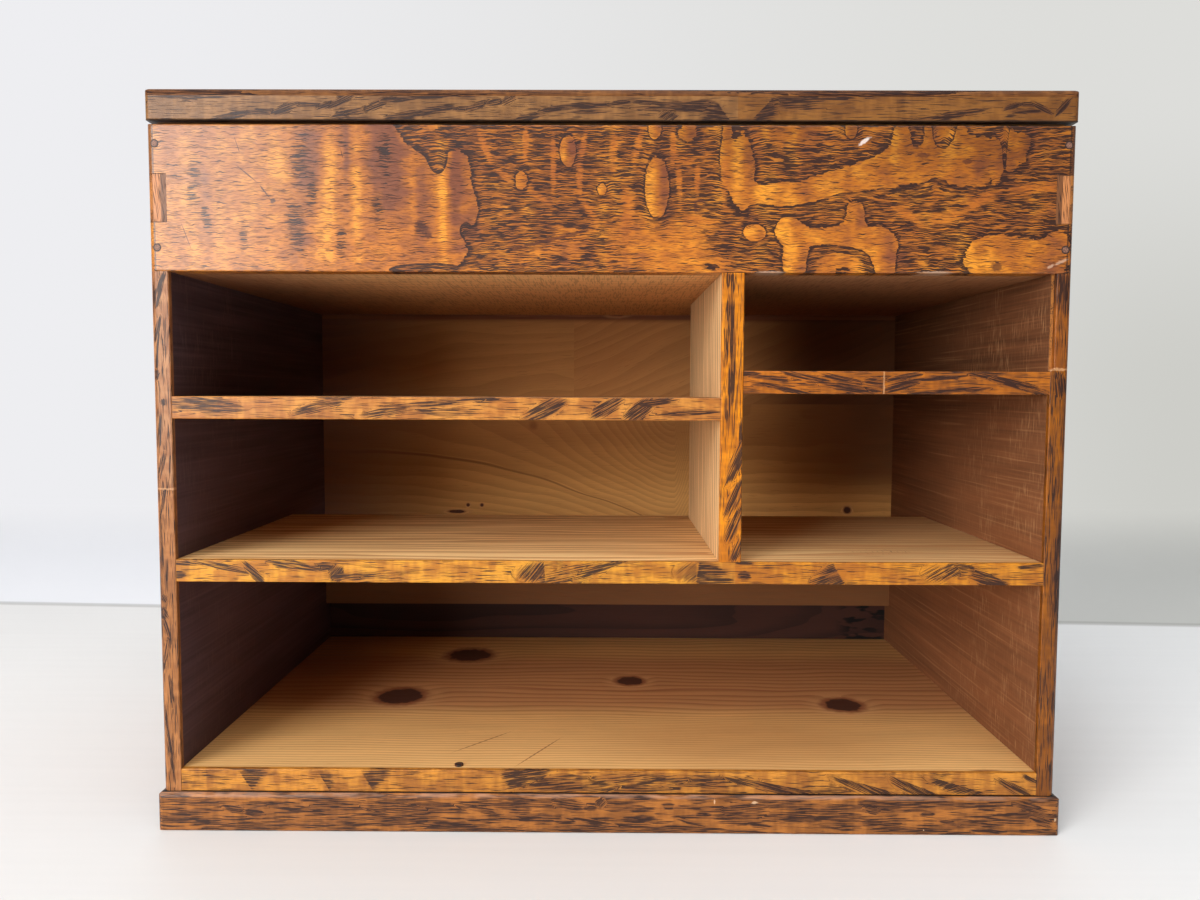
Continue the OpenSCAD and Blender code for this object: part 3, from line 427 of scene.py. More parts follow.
# The strips of ash: their grain, their plain and glowing colours, and their patches of pores.
strips = {
    "bottom_edging": ("xzy", (162, 100, 38), (204, 134, 48), [
        (0.75, -14, 16.6, 19, 3.6, 0, 4), (0.75, 12, 15, 18, 1.8), (0.75, 34, 17.4, 18, 2.8, 0, -3),
        (0.7, 72, 15, 18, 1.8), (0.35, -134.7, 18.5, 8.6, 2), (1, -123.2, 16.5, 8.6, 4, 34, 0, 1),
        (0.9, -96.6, 16.6, 4.3, 4, 30, 0, 1), (0.9, -81.9, 16.7, 9.9, 4, 32, 0, 1),
        (0.3, -58.8, 14.8, 9.9, 1.3), (1, -35.3, 17, 36.4, 4.3, 25, 8, 1),
        (0.7, 10.9, 18.3, 16.6, 2.3, 0, 6), (1, 56.7, 16.7, 3, 18.2, -101, -15, 1),
        (1, 88.2, 16.7, 3.6, 13.9, -105, -25, 1), (1, 104.1, 16.8, 4.3, 9.9, -111, -30, 1),
        (1, 118.7, 16.9, 3.3, 11.9, -106, 20, 1), (1, 138, 17.3, 3.6, 7.9, -114, -30, 1),
        (1, 143.6, 19.5, 2.3, 3.6, -118, -30, 1),
    ]),
    "middle_left": ("xzy", (179, 111, 34), (217, 148, 45), [
        (0.9, -140.4, 91.7, 7.9, 1.3, 0, -5), (0.85, -128.7, 90.4, 14.9, 1.3, -12, -10),
        (1, -119, 88.4, 6, 1.7, -50, -40), (0.95, -105.8, 91.1, 9.3, 2, -8, -8), (1, -96.1, 90.5, 5.3, 1.7),
        (0.9, -91.1, 88.2, 3.3, 3, 60, 50), (0.7, -84.4, 87.5, 8.6, 1.7, 3, 5),
        (0.5, -75, 87.2, 8.3, 1, 3, 3), (0.8, -144.5, 87.6, 3, 1.7),
        (0.95, -21.3, 89.2, 10.6, 4, 184, 50, 1), (0.6, -11.3, 88.5, 13.2, 3.3, 15, 12),
        (1, -1.9, 89.6, 3.3, 10.6, 111, 15, 1), (1, 29.5, 89.1, 13.9, 5, -8, 0, 1),
        (0.6, 29.5, 89.1, 8.3, 4, 180, 40, 1),
    ]),
    "middle_right": ("xzy", (172, 101, 27), (205, 131, 32), [
        (0.95, 45.3, 88.1, 2.6, 2), (1, 45.5, 92.5, 3.6, 1), (1, 77, 89.3, 11.9, 4.6, 210, 20, 1),
        (1, 126.6, 89.5, 5.6, 8.9, -115, -15, 1), (0.9, 116.3, 90.5, 5.6, 3, 0, -5),
        (0.5, 110.6, 89.5, 6.6, 3.6, 0, 30), (0.8, 140.5, 91.6, 5.6, 1, 5, 3),
    ]),
    "upper_left": ("xzy", (171, 104, 43), (205, 136, 58), [
        (0.9, -134.1, 144.6, 14.9, 3, -4, -3), (0.8, -96.6, 144.1, 9.9, 2, 15, 12),
        (0.8, -90.9, 146.4, 8.6, 1, 8, 5), (0.8, -74.3, 142.5, 10.6, 1.7, 10, 10),
        (0.8, -59.4, 145.2, 18.2, 1.3, 5, 4), (0.6, -56.1, 142.6, 16.6, 1.7), (0.9, -42.8, 146.6, 8.6, 1),
        (1, -21.3, 143.4, 8.6, 3, 25, 25), (1, -0.8, 144.1, 6.6, 2.6, 30, 30),
        (1, 10.1, 143.5, 6.6, 3, 35, 35), (0.9, 16.7, 146.1, 6.6, 1.3, 8, 8),
        (1, 26.7, 142.5, 11.3, 1, 3, 3),
    ]),
    "upper_right_left": ("xzy", (152, 84, 21), (190, 107, 25), [
        (1, 46.3, 155.5, 4.3, 1), (1, 52.9, 154.2, 7.3, 1, -5, -5), (1, 51.3, 151.9, 6, 1, -5, -5),
        (1, 59.6, 150.3, 8.6, 1, -12, -12), (0.95, 66.1, 154.2, 10.6, 1.3, -14, -14),
        (1, 77.6, 153.6, 9.9, 1.3, -12, -12), (0.95, 79.3, 151, 10.6, 1.7, -8, -8),
        (1, 87.5, 152.3, 4.3, 2.6, -10, -8),
    ]),
    "upper_right_right": ("xzy", (148, 82, 22), (182, 104, 26), [
        (1, 95.8, 151.7, 7.3, 1.7, 15, 15), (1, 97.3, 154.7, 6.6, 1.3, 12, 12),
        (1, 108.9, 154.4, 10.6, 1, 4, 4), (1, 112.3, 150.1, 13.9, 1, 4, 3), (0.9, 123.6, 155.7, 8.6, 1),
        (1, 128.6, 153.8, 10.6, 1.3, -10, -10), (1, 135.2, 151.8, 10.6, 1.7, -15, -15),
        (1, 140.2, 150.2, 6.6, 1.3, -20, -15),
    ]),
    "left_upper": ("zxy", (152, 97, 57), (176, 121, 77), [
        (1, -148.3, 182.3, 1.3, 7.3, -16, 14), (0.95, -150.6, 179.1, 1, 7.3, -6, 8),
        (0.9, -149.4, 169.3, 1, 5.3, -15, 12), (0.95, -149.4, 162, 0.7, 6.6, -4, 4),
        (0.9, -150.8, 154.5, 2.3, 2.3, 0, 20), (0.8, -147.7, 145.5, 1.7, 1.3),
        (0.9, -149.3, 136.3, 0.8, 8.6, -5, 4), (0.8, -151, 132.9, 1.3, 4, 0, 5),
        (0.9, -148.9, 124.6, 1, 5.3, -14, 12), (0.6, -150.7, 120.2, 1, 3),
    ]),
    "left_lower": ("zxy", (148, 92, 47), (173, 112, 62), [
        (1, -151.5, 114.2, 1.3, 4), (0.95, -148.9, 112.2, 0.8, 7.3, -12, 10),
        (0.8, -150, 97.7, 0.7, 9.9, 0, 2), (0.9, -151.2, 89.9, 1, 8.6, 3, -2), (0.8, -148.2, 89.3, 0.7, 5),
        (0.95, -151.4, 82.5, 1.7, 4.6, 5, -5), (0.9, -149.4, 79.7, 1.3, 1.7, 30, -30),
        (1, -150.3, 74.6, 2, 3, 35, -30), (0.9, -149, 69.9, 1, 4, 15, -15), (1, -151.8, 68.5, 1.7, 4.6),
        (0.9, -147.8, 65.4, 0.7, 4), (1, -150, 58.5, 1, 7.3, -12, 10), (1, -151.7, 48.2, 1.2, 8.6, 5, -5),
        (0.9, -147.9, 48.2, 0.7, 6.6, 5, -5), (1, -149, 32.7, 0.8, 11.6, 8, -8),
        (0.9, -151.6, 24.7, 1.2, 9.9, 5, -5), (0.8, -148, 20.5, 0.7, 6, 5, -5),
    ]),
    "right_upper": ("zxy", (133, 72, 21), (157, 90, 26), [
        (1, 148.2, 183.2, 3, 8.6), (1, 149.4, 179, 2.6, 4.6), (0.9, 146.2, 185.8, 1.3, 4),
    ]),
    "right_lower": ("zxy", (122, 67, 12), (147, 83, 14), [
        (1, 149, 151.6, 2.6, 4, 0, -8), (0.8, 147.6, 155.2, 2, 1.7), (1, 150.4, 94, 2.3, 19.2),
        (1, 149.9, 80.5, 1.3, 11.3, 2), (0.8, 151.3, 107.5, 1.7, 8.6), (0.5, 150, 49.9, 0.7, 19.9, 2),
        (0.5, 152.9, 32.7, 0.7, 14.9, 2), (0.7, 149.7, 20.5, 0.7, 6.6),
    ]),
    "divider_strip": ("zxy", (184, 104, 12), (225, 136, 15), [
        (1, 38.7, 186.1, 1, 3), (1, 40.3, 184.8, 1, 4.3), (1, 40.4, 166.6, 1.2, 20.5, 2),
        (0.95, 38.6, 168.2, 1, 11.9), (1, 40.1, 151.8, 1.7, 9.9, -2), (0.9, 38.9, 144.2, 1.3, 5.3),
        (0.9, 43.8, 133.7, 1.1, 7.3, 0, 3), (1, 42, 126, 2.3, 8.9, -23, 23),
        (1, 42, 114.7, 2.3, 8.6, -23, 23), (1, 42.3, 106, 2.3, 7.9, -25, 23),
        (1, 43.1, 96.9, 2, 5.3, -28, 23),
    ]),
    "lid_left": ("xzy", (114, 77, 43), (143, 99, 55), [
        (1, -136.6, 244.5, 15.2, 0.7, -1), (0.9, -136.6, 243.5, 3.6, 0.7, -8, -8),
        (1, -123, 238.4, 10.6, 1.3, 12, 10), (1, -113.2, 239.7, 5.6, 1.2, 0, -5),
        (1, -105.7, 240.7, 5, 1.7, 25, 20), (1, -99.2, 242.1, 7.3, 1, -2), (1, -91.1, 242, 4.6, 1.3, 15, 15),
        (0.95, -86.2, 244.2, 6, 2, 35, 25), (0.95, -86.2, 239.2, 5, 1.3, 15, 10),
        (0.95, -80.7, 240.4, 6, 1.3, 15, 12), (0.95, -74.8, 242.7, 5.6, 1.7, 25, 20),
        (0.95, -67.7, 244, 7.3, 1.3, 8, 5), (1, -58.6, 244.6, 11.9, 0.8, 3, 2),
        (0.9, -47.2, 244.9, 5.3, 0.7, -3), (0.9, -63.5, 239.2, 8.6, 1.3, 5, 8),
        (1, -55.4, 240.8, 6, 1.3, 5, 5), (1, -47.2, 240.8, 5.3, 1), (1, -43, 241.8, 4.6, 1.3, 25, 15),
        (1, -37.5, 242.7, 3.6, 1.3, 10, 10), (1, -32.6, 244.3, 3.6, 1.7, 35, 25),
        (0.9, -68.4, 237.9, 7.3, 1.3, 5, 5), (0.8, -83, 237.7, 8.6, 0.5), (0.9, -26.2, 238.3, 6, 1.3, 10, 8),
        (1, -19, 240.6, 5, 1, 10, 8), (1, -8.3, 241.8, 11.9, 1.3, 3, 2), (0.9, -6.7, 239.9, 8.6, 0.7),
        (1, 3, 242.8, 4.3, 1, 8, 5), (1, 12.7, 242.8, 7, 1, -5, -3), (1, 25, 241.6, 11.9, 2, -3, -2),
        (0.9, 16, 240.9, 9.9, 1, -3, -2), (0.9, 18.6, 238.7, 3.6, 1.7, 0, 35), (1, 28.9, 242.9, 6.6, 1, 4),
        (1, 36.7, 240.3, 9.9, 4.3, 215, -5, 1),
    ]),
    "lid_right": ("xzy", (112, 70, 32), (134, 87, 39), [
        (1, 49.3, 241.3, 5.3, 5.6, -45, 10, 1), (1, 61.2, 243.9, 10.6, 1.7),
        (0.9, 61.3, 241.7, 8.6, 1.3, -3, 3), (0.95, 72.5, 244.5, 7, 1), (0.9, 83.8, 244.5, 5, 0.5, -8),
        (1, 113, 239.5, 10.3, 1.3, 10, 8), (0.95, 105.9, 238.3, 8.6, 0.7, 5, 5),
        (1, 129.7, 241.8, 3.6, 1, 20, 20), (1, 134.9, 242.4, 4.3, 1, -5),
        (1, 139.7, 241.2, 4.3, 1, -30, -25), (0.9, 134.3, 240.2, 7, 1), (1, 146.2, 241.8, 4.3, 1.2, 50, 45),
    ]),
    "plinth_front": ("xzy", (139, 84, 36), (174, 107, 45), [
        (0.7, -139, 10.1, 9.9, 1.7), (0.8, -134.1, 2.4, 9.9, 2.3), (1, -126.8, 7.7, 4.3, 1.7, -12, -8),
        (1, -120, 6.3, 4, 2, -10, -5), (0.8, -108.3, 8.9, 7.3, 2, -4, -4), (0.7, -113.5, 2.5, 6.6, 2),
        (0.6, -92.9, 8.2, 13.2, 3.3), (0.6, -72.5, 8.4, 11.6, 2, -5, -4), (1, -53.7, 2.9, 8.3, 2),
        (0.8, -43.5, 8.2, 8.6, 1.3, -10, -8), (1, -45.2, 1.2, 4, 1), (0.8, -29.9, 8.6, 4.6, 4),
        (1, -24.7, 5.5, 8.6, 1.3, 3), (0.8, -12.8, 9.8, 6, 2.6, -8, -6), (1, -6, 8.8, 3, 1),
        (0.9, -2.3, 10.6, 2, 2, 45, 45), (0.9, -6, 4.2, 9.9, 1, -10, -8), (1, 11, 5, 7.3, 1.3),
        (0.9, 20.5, 9.7, 2.6, 1.7), (0.9, 18.5, 1.2, 7.3, 1), (0.8, 28, 4.1, 5.3, 1, -15, -10),
        (1, 32.4, 6.6, 3.3, 0.7), (0.85, 46.7, 8.4, 7.9, 3.3, 0, 3), (0.9, 62, 6.1, 10.6, 1.3),
        (1, 51.9, 2.9, 4.6, 1, -5, -5), (0.7, 65.3, 10.3, 6.6, 1.7), (1, 88.4, 11.1, 4.6, 1.7),
        (1, 89.1, 8.7, 3.3, 1.7, -20, -10), (1, 89.2, 4.1, 5.3, 1.7), (0.8, 99.2, 10.8, 6.6, 1.3, -3),
        (1, 108.1, 7.4, 3, 1.3), (1, 115.3, 4.3, 4, 1, -12, -8), (0.8, 128, 9.6, 4, 1.3),
        (1, 128.3, 1.6, 6.6, 1, -3, -3), (0.7, 132.5, 6.5, 1.7, 1.7), (0.9, 143.3, 9.7, 7.3, 1.7, -15, -12),
        (0.9, 146.8, 4.9, 4.6, 1.7, -20, -15), (0.6, 136.4, 11.8, 13.2, 1.3, -3),
    ]),
}

# -------- bare softwood


def softwood(f, early, late, ring, late_from, contrast, knots=(), sawn=0):
    """Planed cedar or pine: soft bands that darken and end in a sharp line of late wood.

    Late wood starts at this share of a ring. A knot is its place and its reach, along and across."""
    for along, across, reach_along, reach_across in knots:
        oval = f.oval(f.spot, (along, across), (reach_along * 2.2, reach_across * 1.9))
        ring = ring + f.within(oval, 0) * 1.6
    level = f.math("FRACT", ring)
    late_wood = f.rise(level, late_from, 0.97) * f.fall(level, 0.975, 1)
    fibres = f.noise((18, 0.3, 0.3), 2)
    flecks = f.noise((7, 0.5, 0.5), seed=4)
    clouds = f.noise((40, 9, 9), seed=8)
    color = f.mix(late_wood * contrast, early, late)
    color = f.shade(color, 0.72 + fibres * 0.3 + clouds * 0.26)
    color = f.mix(f.rise(flecks, 0.66, 0.74) * 0.28, color, late)
    for along, across, reach_along, reach_across in knots:
        rim = f.length(f.oval(f.spot, (along, across), (reach_along, reach_across)))
        rim = rim + (f.noise((3, 3, 3), seed=9) - 0.5) * 0.35
        color = f.mix(f.fall(rim, 1.1, 2.1) * 0.35, color, tint(216, 166, 112))
        color = f.mix(f.fall(rim, 0.9, 1.35) * 0.75, color, tint(126, 62, 38))
        color = f.mix(f.fall(rim, 0.76, 0.92) * 0.85, color, tint(50, 24, 20))
    relief = f.bump(fibres * 0.5 + late_wood * 0.5, 0.05)
    if sawn:
        teeth = f.noise((9, 0.55, 9), seed=2, spot=f.joined(f.across, f.along, f.through))
        color = f.shade(color, 1 - f.rise(teeth, 0.52, 0.62) * sawn)
        relief = f.bump(fibres * 0.4 + teeth * 0.8, 0.09)
    return f.done(color, 0.74, relief, Specular_IOR_Level=0.3)


def flat_rings(f, middle, depth, width, stretch):
    """Rings of this width around a pith line, which lies at this place across and through the box.

    Stretch is how far the pith line strays from it."""
    drift = f.noise((230, 60, 60), seed=6)
    side = f.across - middle + (drift - 0.5) * stretch
    deep = f.through - depth + (drift - 0.5) * stretch * 2
    radius = f.length(f.joined(side, deep, 0))
    return radius / width + (f.noise((110, 12, 12), seed=7) - 0.5) * 1.6


def straight_rings(f, width, steps, waves, seed):
    """Straight rings, this wide, that wander by so many rings."""
    return f.across / width + (f.noise(steps, seed=seed) - 0.5) * waves


def quarter_sawn(f, width, waves, seed):
    """The rings of a quarter-sawn board, and the amber wedges between them."""
    ring = straight_rings(f, width, (120, 12, 12), waves, seed + 1)
    return ring, f.rise(f.noise((46, 1.6, 4), 0, seed=seed + 2), 0.68, 0.74) * 0.45


def floor_board():
    """The pine bottom board: straight close rings at the front, a pink heart, four dark knots and painted
    shadow at its left rear.
    """
    f = Finish("floor_pine_board", "xyz")
    knots = [(-87.2, -14.7, 10.5, 11), (-67, 45.4, 11.5, 11), (10.2, 6.8, 6.5, 6.5),
             (97.2, -22.8, 8.5, 8.5)]
    wander = f.noise((60, 25, 25), seed=7)
    fine = f.rise(f.across, -28, -62)
    ring = f.across / 5.2 + (wander - 0.5) * 2.2 + fine * (f.across + 28) * 0.28
    heart = f.rise(f.across, -40, -20) * f.fall(f.across, 30, 55)
    early = f.mix(heart * 0.75, tint(226, 178, 114), tint(184, 128, 84))
    late = f.mix(heart, tint(180, 126, 68), tint(146, 86, 50))
    line = f.fall(abs(f.across + 5 + (wander - 0.5) * 16), 0.2, 0.9)
    early = f.mix(line * f.rise(f.along, -60, -40) * 0.6, early, tint(140, 76, 44))
    scratches = [(-45.9, -64, 17, 0.4, 47), (-24.6, -73, 18, 0.4, 61)]
    stains = [(76, -88.6, 7, 1.8, 0), (129, -88.2, 8, 2.4, 0)]
    for x, y, reach, wide, turn in scratches + stains:
        near = f.within(f.oval(f.spot, (x, y), (reach, wide), turn), 0.5)
        early = f.mix(near * 0.8, early, tint(122, 68, 40))
    dull = f.within(f.oval(f.spot, (52, -66), (70, 34)), 0.3)
    early = f.mix(dull * 0.4, early, tint(176, 122, 70))
    # Painted shadow over the left rear of the floor.
    corner = f.rise(f.across, -50, 40) * f.fall(f.along, -140, -70)
    early = f.mix(corner * 0.75, early, tint(112, 74, 62))
    edge_dirt = f.fall(f.across, FRONT + 0.9, FRONT + 2.7)
    early = f.mix(edge_dirt * 0.7, early, tint(84, 54, 34))
    return softwood(f, early, late, ring, 0.35, 0.65, knots)


def shelf_board(name, grain, early, late, width=3.4, seed=0):
    """A quarter-sawn shelf: straight stripes, with a few amber wedges."""
    f = Finish(name, grain)
    ring, wedge = quarter_sawn(f, width, 1.6, seed)
    return softwood(f, f.mix(wedge, early, late), late, ring, 0.3, 0.7)


def middle_shelf_board():
    """The middle shelf: wider stripes, painted shade at the right, and a patch of fine scratches there."""
    f = Finish("shelf_cedar_middle", "xyz")
    ring, wedge = quarter_sawn(f, 6, 2.6, 0)
    early = f.mix(wedge, tint(244, 202, 140), tint(172, 110, 56))
    # Painted shade over the shelf in the right bay.
    early = f.mix(f.rise(f.x, 30, 100) * 0.4, early, tint(160, 118, 80))
    slanted = f.joined(f.across + f.along * 0.25, f.along, f.through)
    fine = f.rise(f.noise((4, 0.8, 4), seed=3, spot=slanted), 0.56, 0.62)
    scratched = f.within(f.oval(f.spot, (96.7, -68.6), (14, 6)), 0.6)
    early = f.mix(scratched * fine * 0.5, early, tint(104, 72, 48))
    return softwood(f, early, tint(190, 134, 80), ring, 0.05, 0.85)


def lining_low():
    """The lower lining board: long arcs that turn back behind the divider, and one dark line, with painted
    shade at its top, its left end and its right part.

    Away is how far a point lies from where they turn back, told six times as far at the right."""
    f = Finish("lining_pine_lower")
    drift = f.noise((44, 16, 16), seed=5)
    away = f.most(34 - f.x, (f.x - 34) * 6)
    deep = 54 - f.math("POWER", 0.974, away) * 54
    side = f.z - 141 + (drift - 0.5) * 5
    radius = f.length(f.joined(side, deep, 0))
    ring = radius / 3 + (f.noise((30, 12, 12), seed=3) - 0.5) * 0.5
    line = f.fall(abs(radius - 57.5), 0.1, 0.5) * f.fall(f.x, 20, 42)
    # Painted shade: darker towards the top, under the shelf above.
    early = f.mix(f.rise(f.z, 100, 138), tint(212, 158, 88), tint(184, 128, 70))
    early = f.mix(line * 0.6, early, tint(96, 54, 32))
    # Painted shade over the right bay's part, towards the right.
    early = f.mix(f.rise(f.x, 70, 135) * f.rise(f.z, 92, 110) * 0.75, early, tint(96, 52, 32))
    # Painted shade at the left end, in the left side's shadow.
    early = f.mix(f.fall(f.x, -150, -60), early, tint(128, 84, 58))
    early = f.mix(f.fall(f.z, 84, 86), early, tint(132, 88, 52))
    smudge = f.within(f.oval(f.spot, (-38, 132.5), (3.4, 3.4)), 0.2)
    early = f.mix(smudge * 0.6, early, tint(126, 72, 42))
    knots = [(-71.5, 91.6, 0.9, 0.9), (-64.4, 91.6, 0.9, 0.9),
             (-77.2, 88.2, 4.5, 0.9), (122.7, 89.8, 1.9, 1.8)]
    return softwood(f, early, tint(140, 88, 48), ring, 0.05, 0.3, knots)


def lining_up(name, slant, early, late):
    """An upper lining board, its grain at a slant, darker at the top, with painted shade towards both sides.
    """
    f = Finish(name)
    turned = f.oval(f.front, (0, 165), (1, 1), slant)
    f.along, f.across, f.through = f.parts(turned)
    f.through = f.through * OVAL_DEPTH
    f.spot = f.joined(f.along, f.across, f.through)
    ring = straight_rings(f, 6.2, (50, 16, 16), 2.2, 4)
    early = f.mix(f.rise(f.z, 184, 187.5), early, tint(104, 54, 34))
    # Painted shade towards the left side and, more strongly, towards the right.
    early = f.mix(f.fall(f.x, -150, -60), early, tint(110, 66, 50))
    early = f.mix(f.rise(f.x, 60, 110) * 0.8, early, tint(78, 38, 26))
    return softwood(f, early, late, ring, 0.05, 0.24)


def back_board(name, upper):
    """An outer back board of plain cedar, with painted shade where it faces the recess. Upper is 0 or 1."""
    f = Finish(name)
    ring = flat_rings(f, 40 + upper * 60, 104, 5.5, 16)
    # Painted shade: the face towards the recess takes darker copies of the colours.
    shaded_recess_face = f.fall(f.y, BACK_INNER + 0.3, BACK_INNER + 0.7)
    early = f.mix(shaded_recess_face, tint(136, 92, 58), tint(70, 40, 30))
    late = f.mix(shaded_recess_face, tint(92, 56, 34), tint(40, 24, 20))
    blotch = f.rise(f.noise((9, 3, 3), 1.5, seed=12), 0.52, 0.6) * shaded_recess_face
    early = f.mix(blotch * f.rise(f.x, 118, 128), early, tint(10, 8, 8))
    return softwood(f, early, late, ring, 0.4, 0.6, [(-96 + upper * 170, 66 + upper * 104, 5, 4.5)])


def ceiling_board():
    """The compartment's floor. Its underside is the bays' sawn ceiling, with painted shade at its ends and
    rear.
    """
    f = Finish("compartment_cedar_floor", "xyz")
    ring = straight_rings(f, 5, (70, 20, 20), 2, 2)
    # Painted shade on the underside: over the right bay, the left end and the rear.
    darker = f.rise(f.x, 30, 50) * 0.8 + f.rise(f.y, -20, 60) * 0.3
    darker = f.most(darker, f.fall(f.x, -150, -50)) * f.fall(f.z, 190, 192)
    early = f.mix(darker, tint(228, 174, 114), tint(140, 92, 62))
    return softwood(f, early, tint(140, 90, 56), ring, 0.4, 0.3, sawn=0.3)


def compartment_back_board():
    """The compartment's back, of dark cedar with two knots."""
    f = Finish("compartment_cedar_back")
    ring = straight_rings(f, 4.5, (60, 14, 14), 2, 2)
    knots = [(4.4, 189.5, 4.5, 1.6), (-90, 214, 3, 2.6)]
    return softwood(f, tint(134, 80, 50), tint(84, 46, 28), ring, 0.4, 0.5, knots)


def side_board(name, inner_color, fuzz_color, pith_z):
    """A side, its grain from front to back: polished stained ash outside, rough from the saw inside.

    End is its finger between those of the panel, whose end grain is on the box's front."""
    f = Finish(name, "yzx")
    ring = flat_rings(f, pith_z, 172, 7.5, 22)
    end = f.fall(f.y, FRONT + 0.02, FRONT + 0.1)
    dense = f.most(ring_pores(f, ring) * (1 - end), end * 0.5)
    run = f.y + (f.z - f.y) * end
    rank = f.z + ring * 0.5 + (f.x + f.z * 0.12 - f.z - ring * 0.5) * end
    strokes = f.noise((7, 0.3, 0.3), spot=f.joined(run, rank, f.x * (1 - end)))
    pores = f.rise(strokes + dense * 0.14, 0.62, 0.7)
    fibres = f.noise((14, 0.25, 0.25), 2)
    clouds = f.noise((60, 16, 16), seed=3)
    outer = f.mix(f.rise(clouds, 0.34, 0.66), tint(150, 92, 46), tint(176, 112, 54))
    outer = f.shade(outer, 0.84 + fibres * 0.32)
    outer = f.mix(dense * (1 - end) * 0.2, outer, tint(104, 62, 38))
    outer = f.mix(end * 0.7, outer, tint(192, 126, 80))
    outline = f.most(f.fall(abs(f.x), 146.8, 147.2), f.rise(abs(f.z - FINGER_MIDDLE), 7.5, 7.8))
    outer = f.mix(end * outline * 0.7, outer, tint(50, 30, 24))
    outer = f.mix(pores * 0.85, outer, PORE)
    lines = f.noise((60, 0.9, 0.9), 2, seed=8)
    bands = f.noise((70, 7, 7), 2, seed=11)
    fuzz = f.noise((6, 0.6, 0.6), 2, seed=9, spot=f.joined(f.z + f.y * 0.12, f.y, f.x))
    rough = f.rise(f.noise((10, 14, 14), 2, seed=10), 0.4, 0.62) * f.rise(f.y, 10, -50)
    inner = f.shade(inner_color, 0.3 + lines * 0.7 + bands * 0.7 - f.rise(f.z, 100, 165) * 0.3)
    inner = f.mix(f.rise(lines, 0.58, 0.72) * 0.2, inner, fuzz_color)
    inner = f.mix(f.rise(fuzz, 0.5, 0.72) * (0.06 + rough * 0.4), inner, fuzz_color)
    inside = f.fall(abs(f.x), SIDE_INNER + 0.1, SIDE_INNER + 0.2)
    inside = inside * f.rise(f.y, FRONT + 0.1, FRONT + 0.2)
    color = f.mix(inside, outer, inner)
    relief = f.bump(pores * (inside - 1) + fibres * 0.25 + (lines + fuzz * 0.6) * inside, 0.07)
    return f.done(color, 0.38 + inside * 0.4, relief, Specular_IOR_Level=0.25, Coat_Weight=0.05)


def ringed_ash(name, grain, pith, width, colors, wear_and_light=None, stretch=16, polish=1):
    """Polished ash with the tall arches of a board cut across its rings."""
    f = Finish(name, grain)
    ring = flat_rings(f, *pith, width, stretch)
    ring = ring + (f.noise((2.5, 0.6, 0.6), 0, seed=11) - 0.5) * 0.12
    return stained_ash(f, *colors, ring_pores(f, ring), ring * 0.5, wear_and_light, polish)


def peg_finish():
    """The end grain of the pegs, each in its dark rim."""
    f = Finish("peg_wood_ends", "yxz")
    grain = f.noise((6, 0.35, 0.35), 2)
    color = f.shade(f.mix(f.rise(grain, 0.4, 0.6), tint(98, 62, 50), tint(140, 100, 78)), 0.8 + grain * 0.4)
    for x in (-PEG_X, PEG_X):
        for z in PEGS_Z:
            rim = f.length(f.oval(f.front, (x, z), (PEG_RADIUS, PEG_RADIUS)))
            color = f.mix(f.rise(rim, 0.62, 0.86) * f.fall(rim, 1.05, 1.1), color, tint(40, 26, 22))
    return f.done(color, 0.55, f.bump(grain, 0.08))


def metal(name, bright, dull, roughness, share=0.5):
    """A small metal part: scratched, and dulled in patches over a share of it."""
    f = Finish(name)
    patch = f.noise((4, 4, 4), 3)
    scratch = f.noise((9, 0.3, 0.3), seed=2)
    dulled = f.rise(patch, 0.62 - share * 0.3, 0.78 - share * 0.3)
    color = f.shade(f.mix(dulled, bright, dull), 0.85 + scratch * 0.3)
    return f.done(color, roughness + dulled * 0.25, f.bump(scratch, 0.01), Metallic=1)


def nail_finish():
    """Iron, with rust in spots."""
    f = Finish("nail_iron_worn")
    rust = f.noise((1.2, 1.2, 1.2), 3)
    color = f.mix(f.rise(rust, 0.42, 0.62), tint(54, 50, 50), tint(104, 62, 40))
    return f.done(color, 0.6, f.bump(rust, 0.08), Metallic=0.5)


# -------- each board's finish


def pale_seam(axis_name, at, half):
    """The pale, chipped line of glue where two strips meet."""
    def paint(f, color):
        chips = f.noise((0.9, 0.9, 0.9), seed=14)
        off = abs(getattr(f, axis_name) - at + (chips - 0.5) * half * 1.6)
        return f.mix(f.fall(off, half * 0.3, half) * 0.6, color, tint(204, 152, 106))
    return paint


def arris_highlight_and_seam(f, color):
    """The outer arris of the left strips, with a painted amber highlight but for its lower part, and their
    pale seam.
    """
    arris = f.fall(f.x, 0.4 - HALF_WIDTH, 0.8 - HALF_WIDTH) * f.rise(f.z, 84, 96)
    color = f.mix(arris * 0.7, color, tint(196, 112, 24))
    return pale_seam("z", SEAM_LEFT, 0.5)(f, color)


def rubbed_arris(f, color):
    """A plinth rail's upper edge, rubbed pale, the dark line over it, and its small chips."""
    rub = f.noise((9, 2, 2), 2, seed=15)
    upper = f.rise(f.z, PLINTH_TOP - 1.7, PLINTH_TOP - 0.7) * f.rise(rub, 0.36, 0.6)
    color = f.mix(upper * 0.45, color, tint(182, 138, 112))
    color = f.mix(f.rise(f.z, PLINTH_TOP - 0.3, PLINTH_TOP - 0.1), color, tint(24, 15, 12))
    chips = [(49.7, 11, 1.4, 0.6, 10), (151.2, 5.6, 0.5, 0.7), (106.9, 1.8, 0.3, 0.3),
             (36.1, 11.2, 0.3, 1.1)]
    return marks(f, color, tint(216, 178, 140), chips, 0.8)


def painted_lid_gap_shade(f, color):
    """Painted shade along the lower edge of the lid, over the shadowed gap beneath it."""
    gap_shade = f.fall(f.z, LID_UNDERSIDE + 0.1, LID_UNDERSIDE + 0.6)
    return f.mix(gap_shade * 0.85, color, tint(26, 17, 14))


right_seam = pale_seam("z", SEAM_RIGHT, 0.6)
shelf_seam = pale_seam("x", SEAM_SHELF, 0.4)
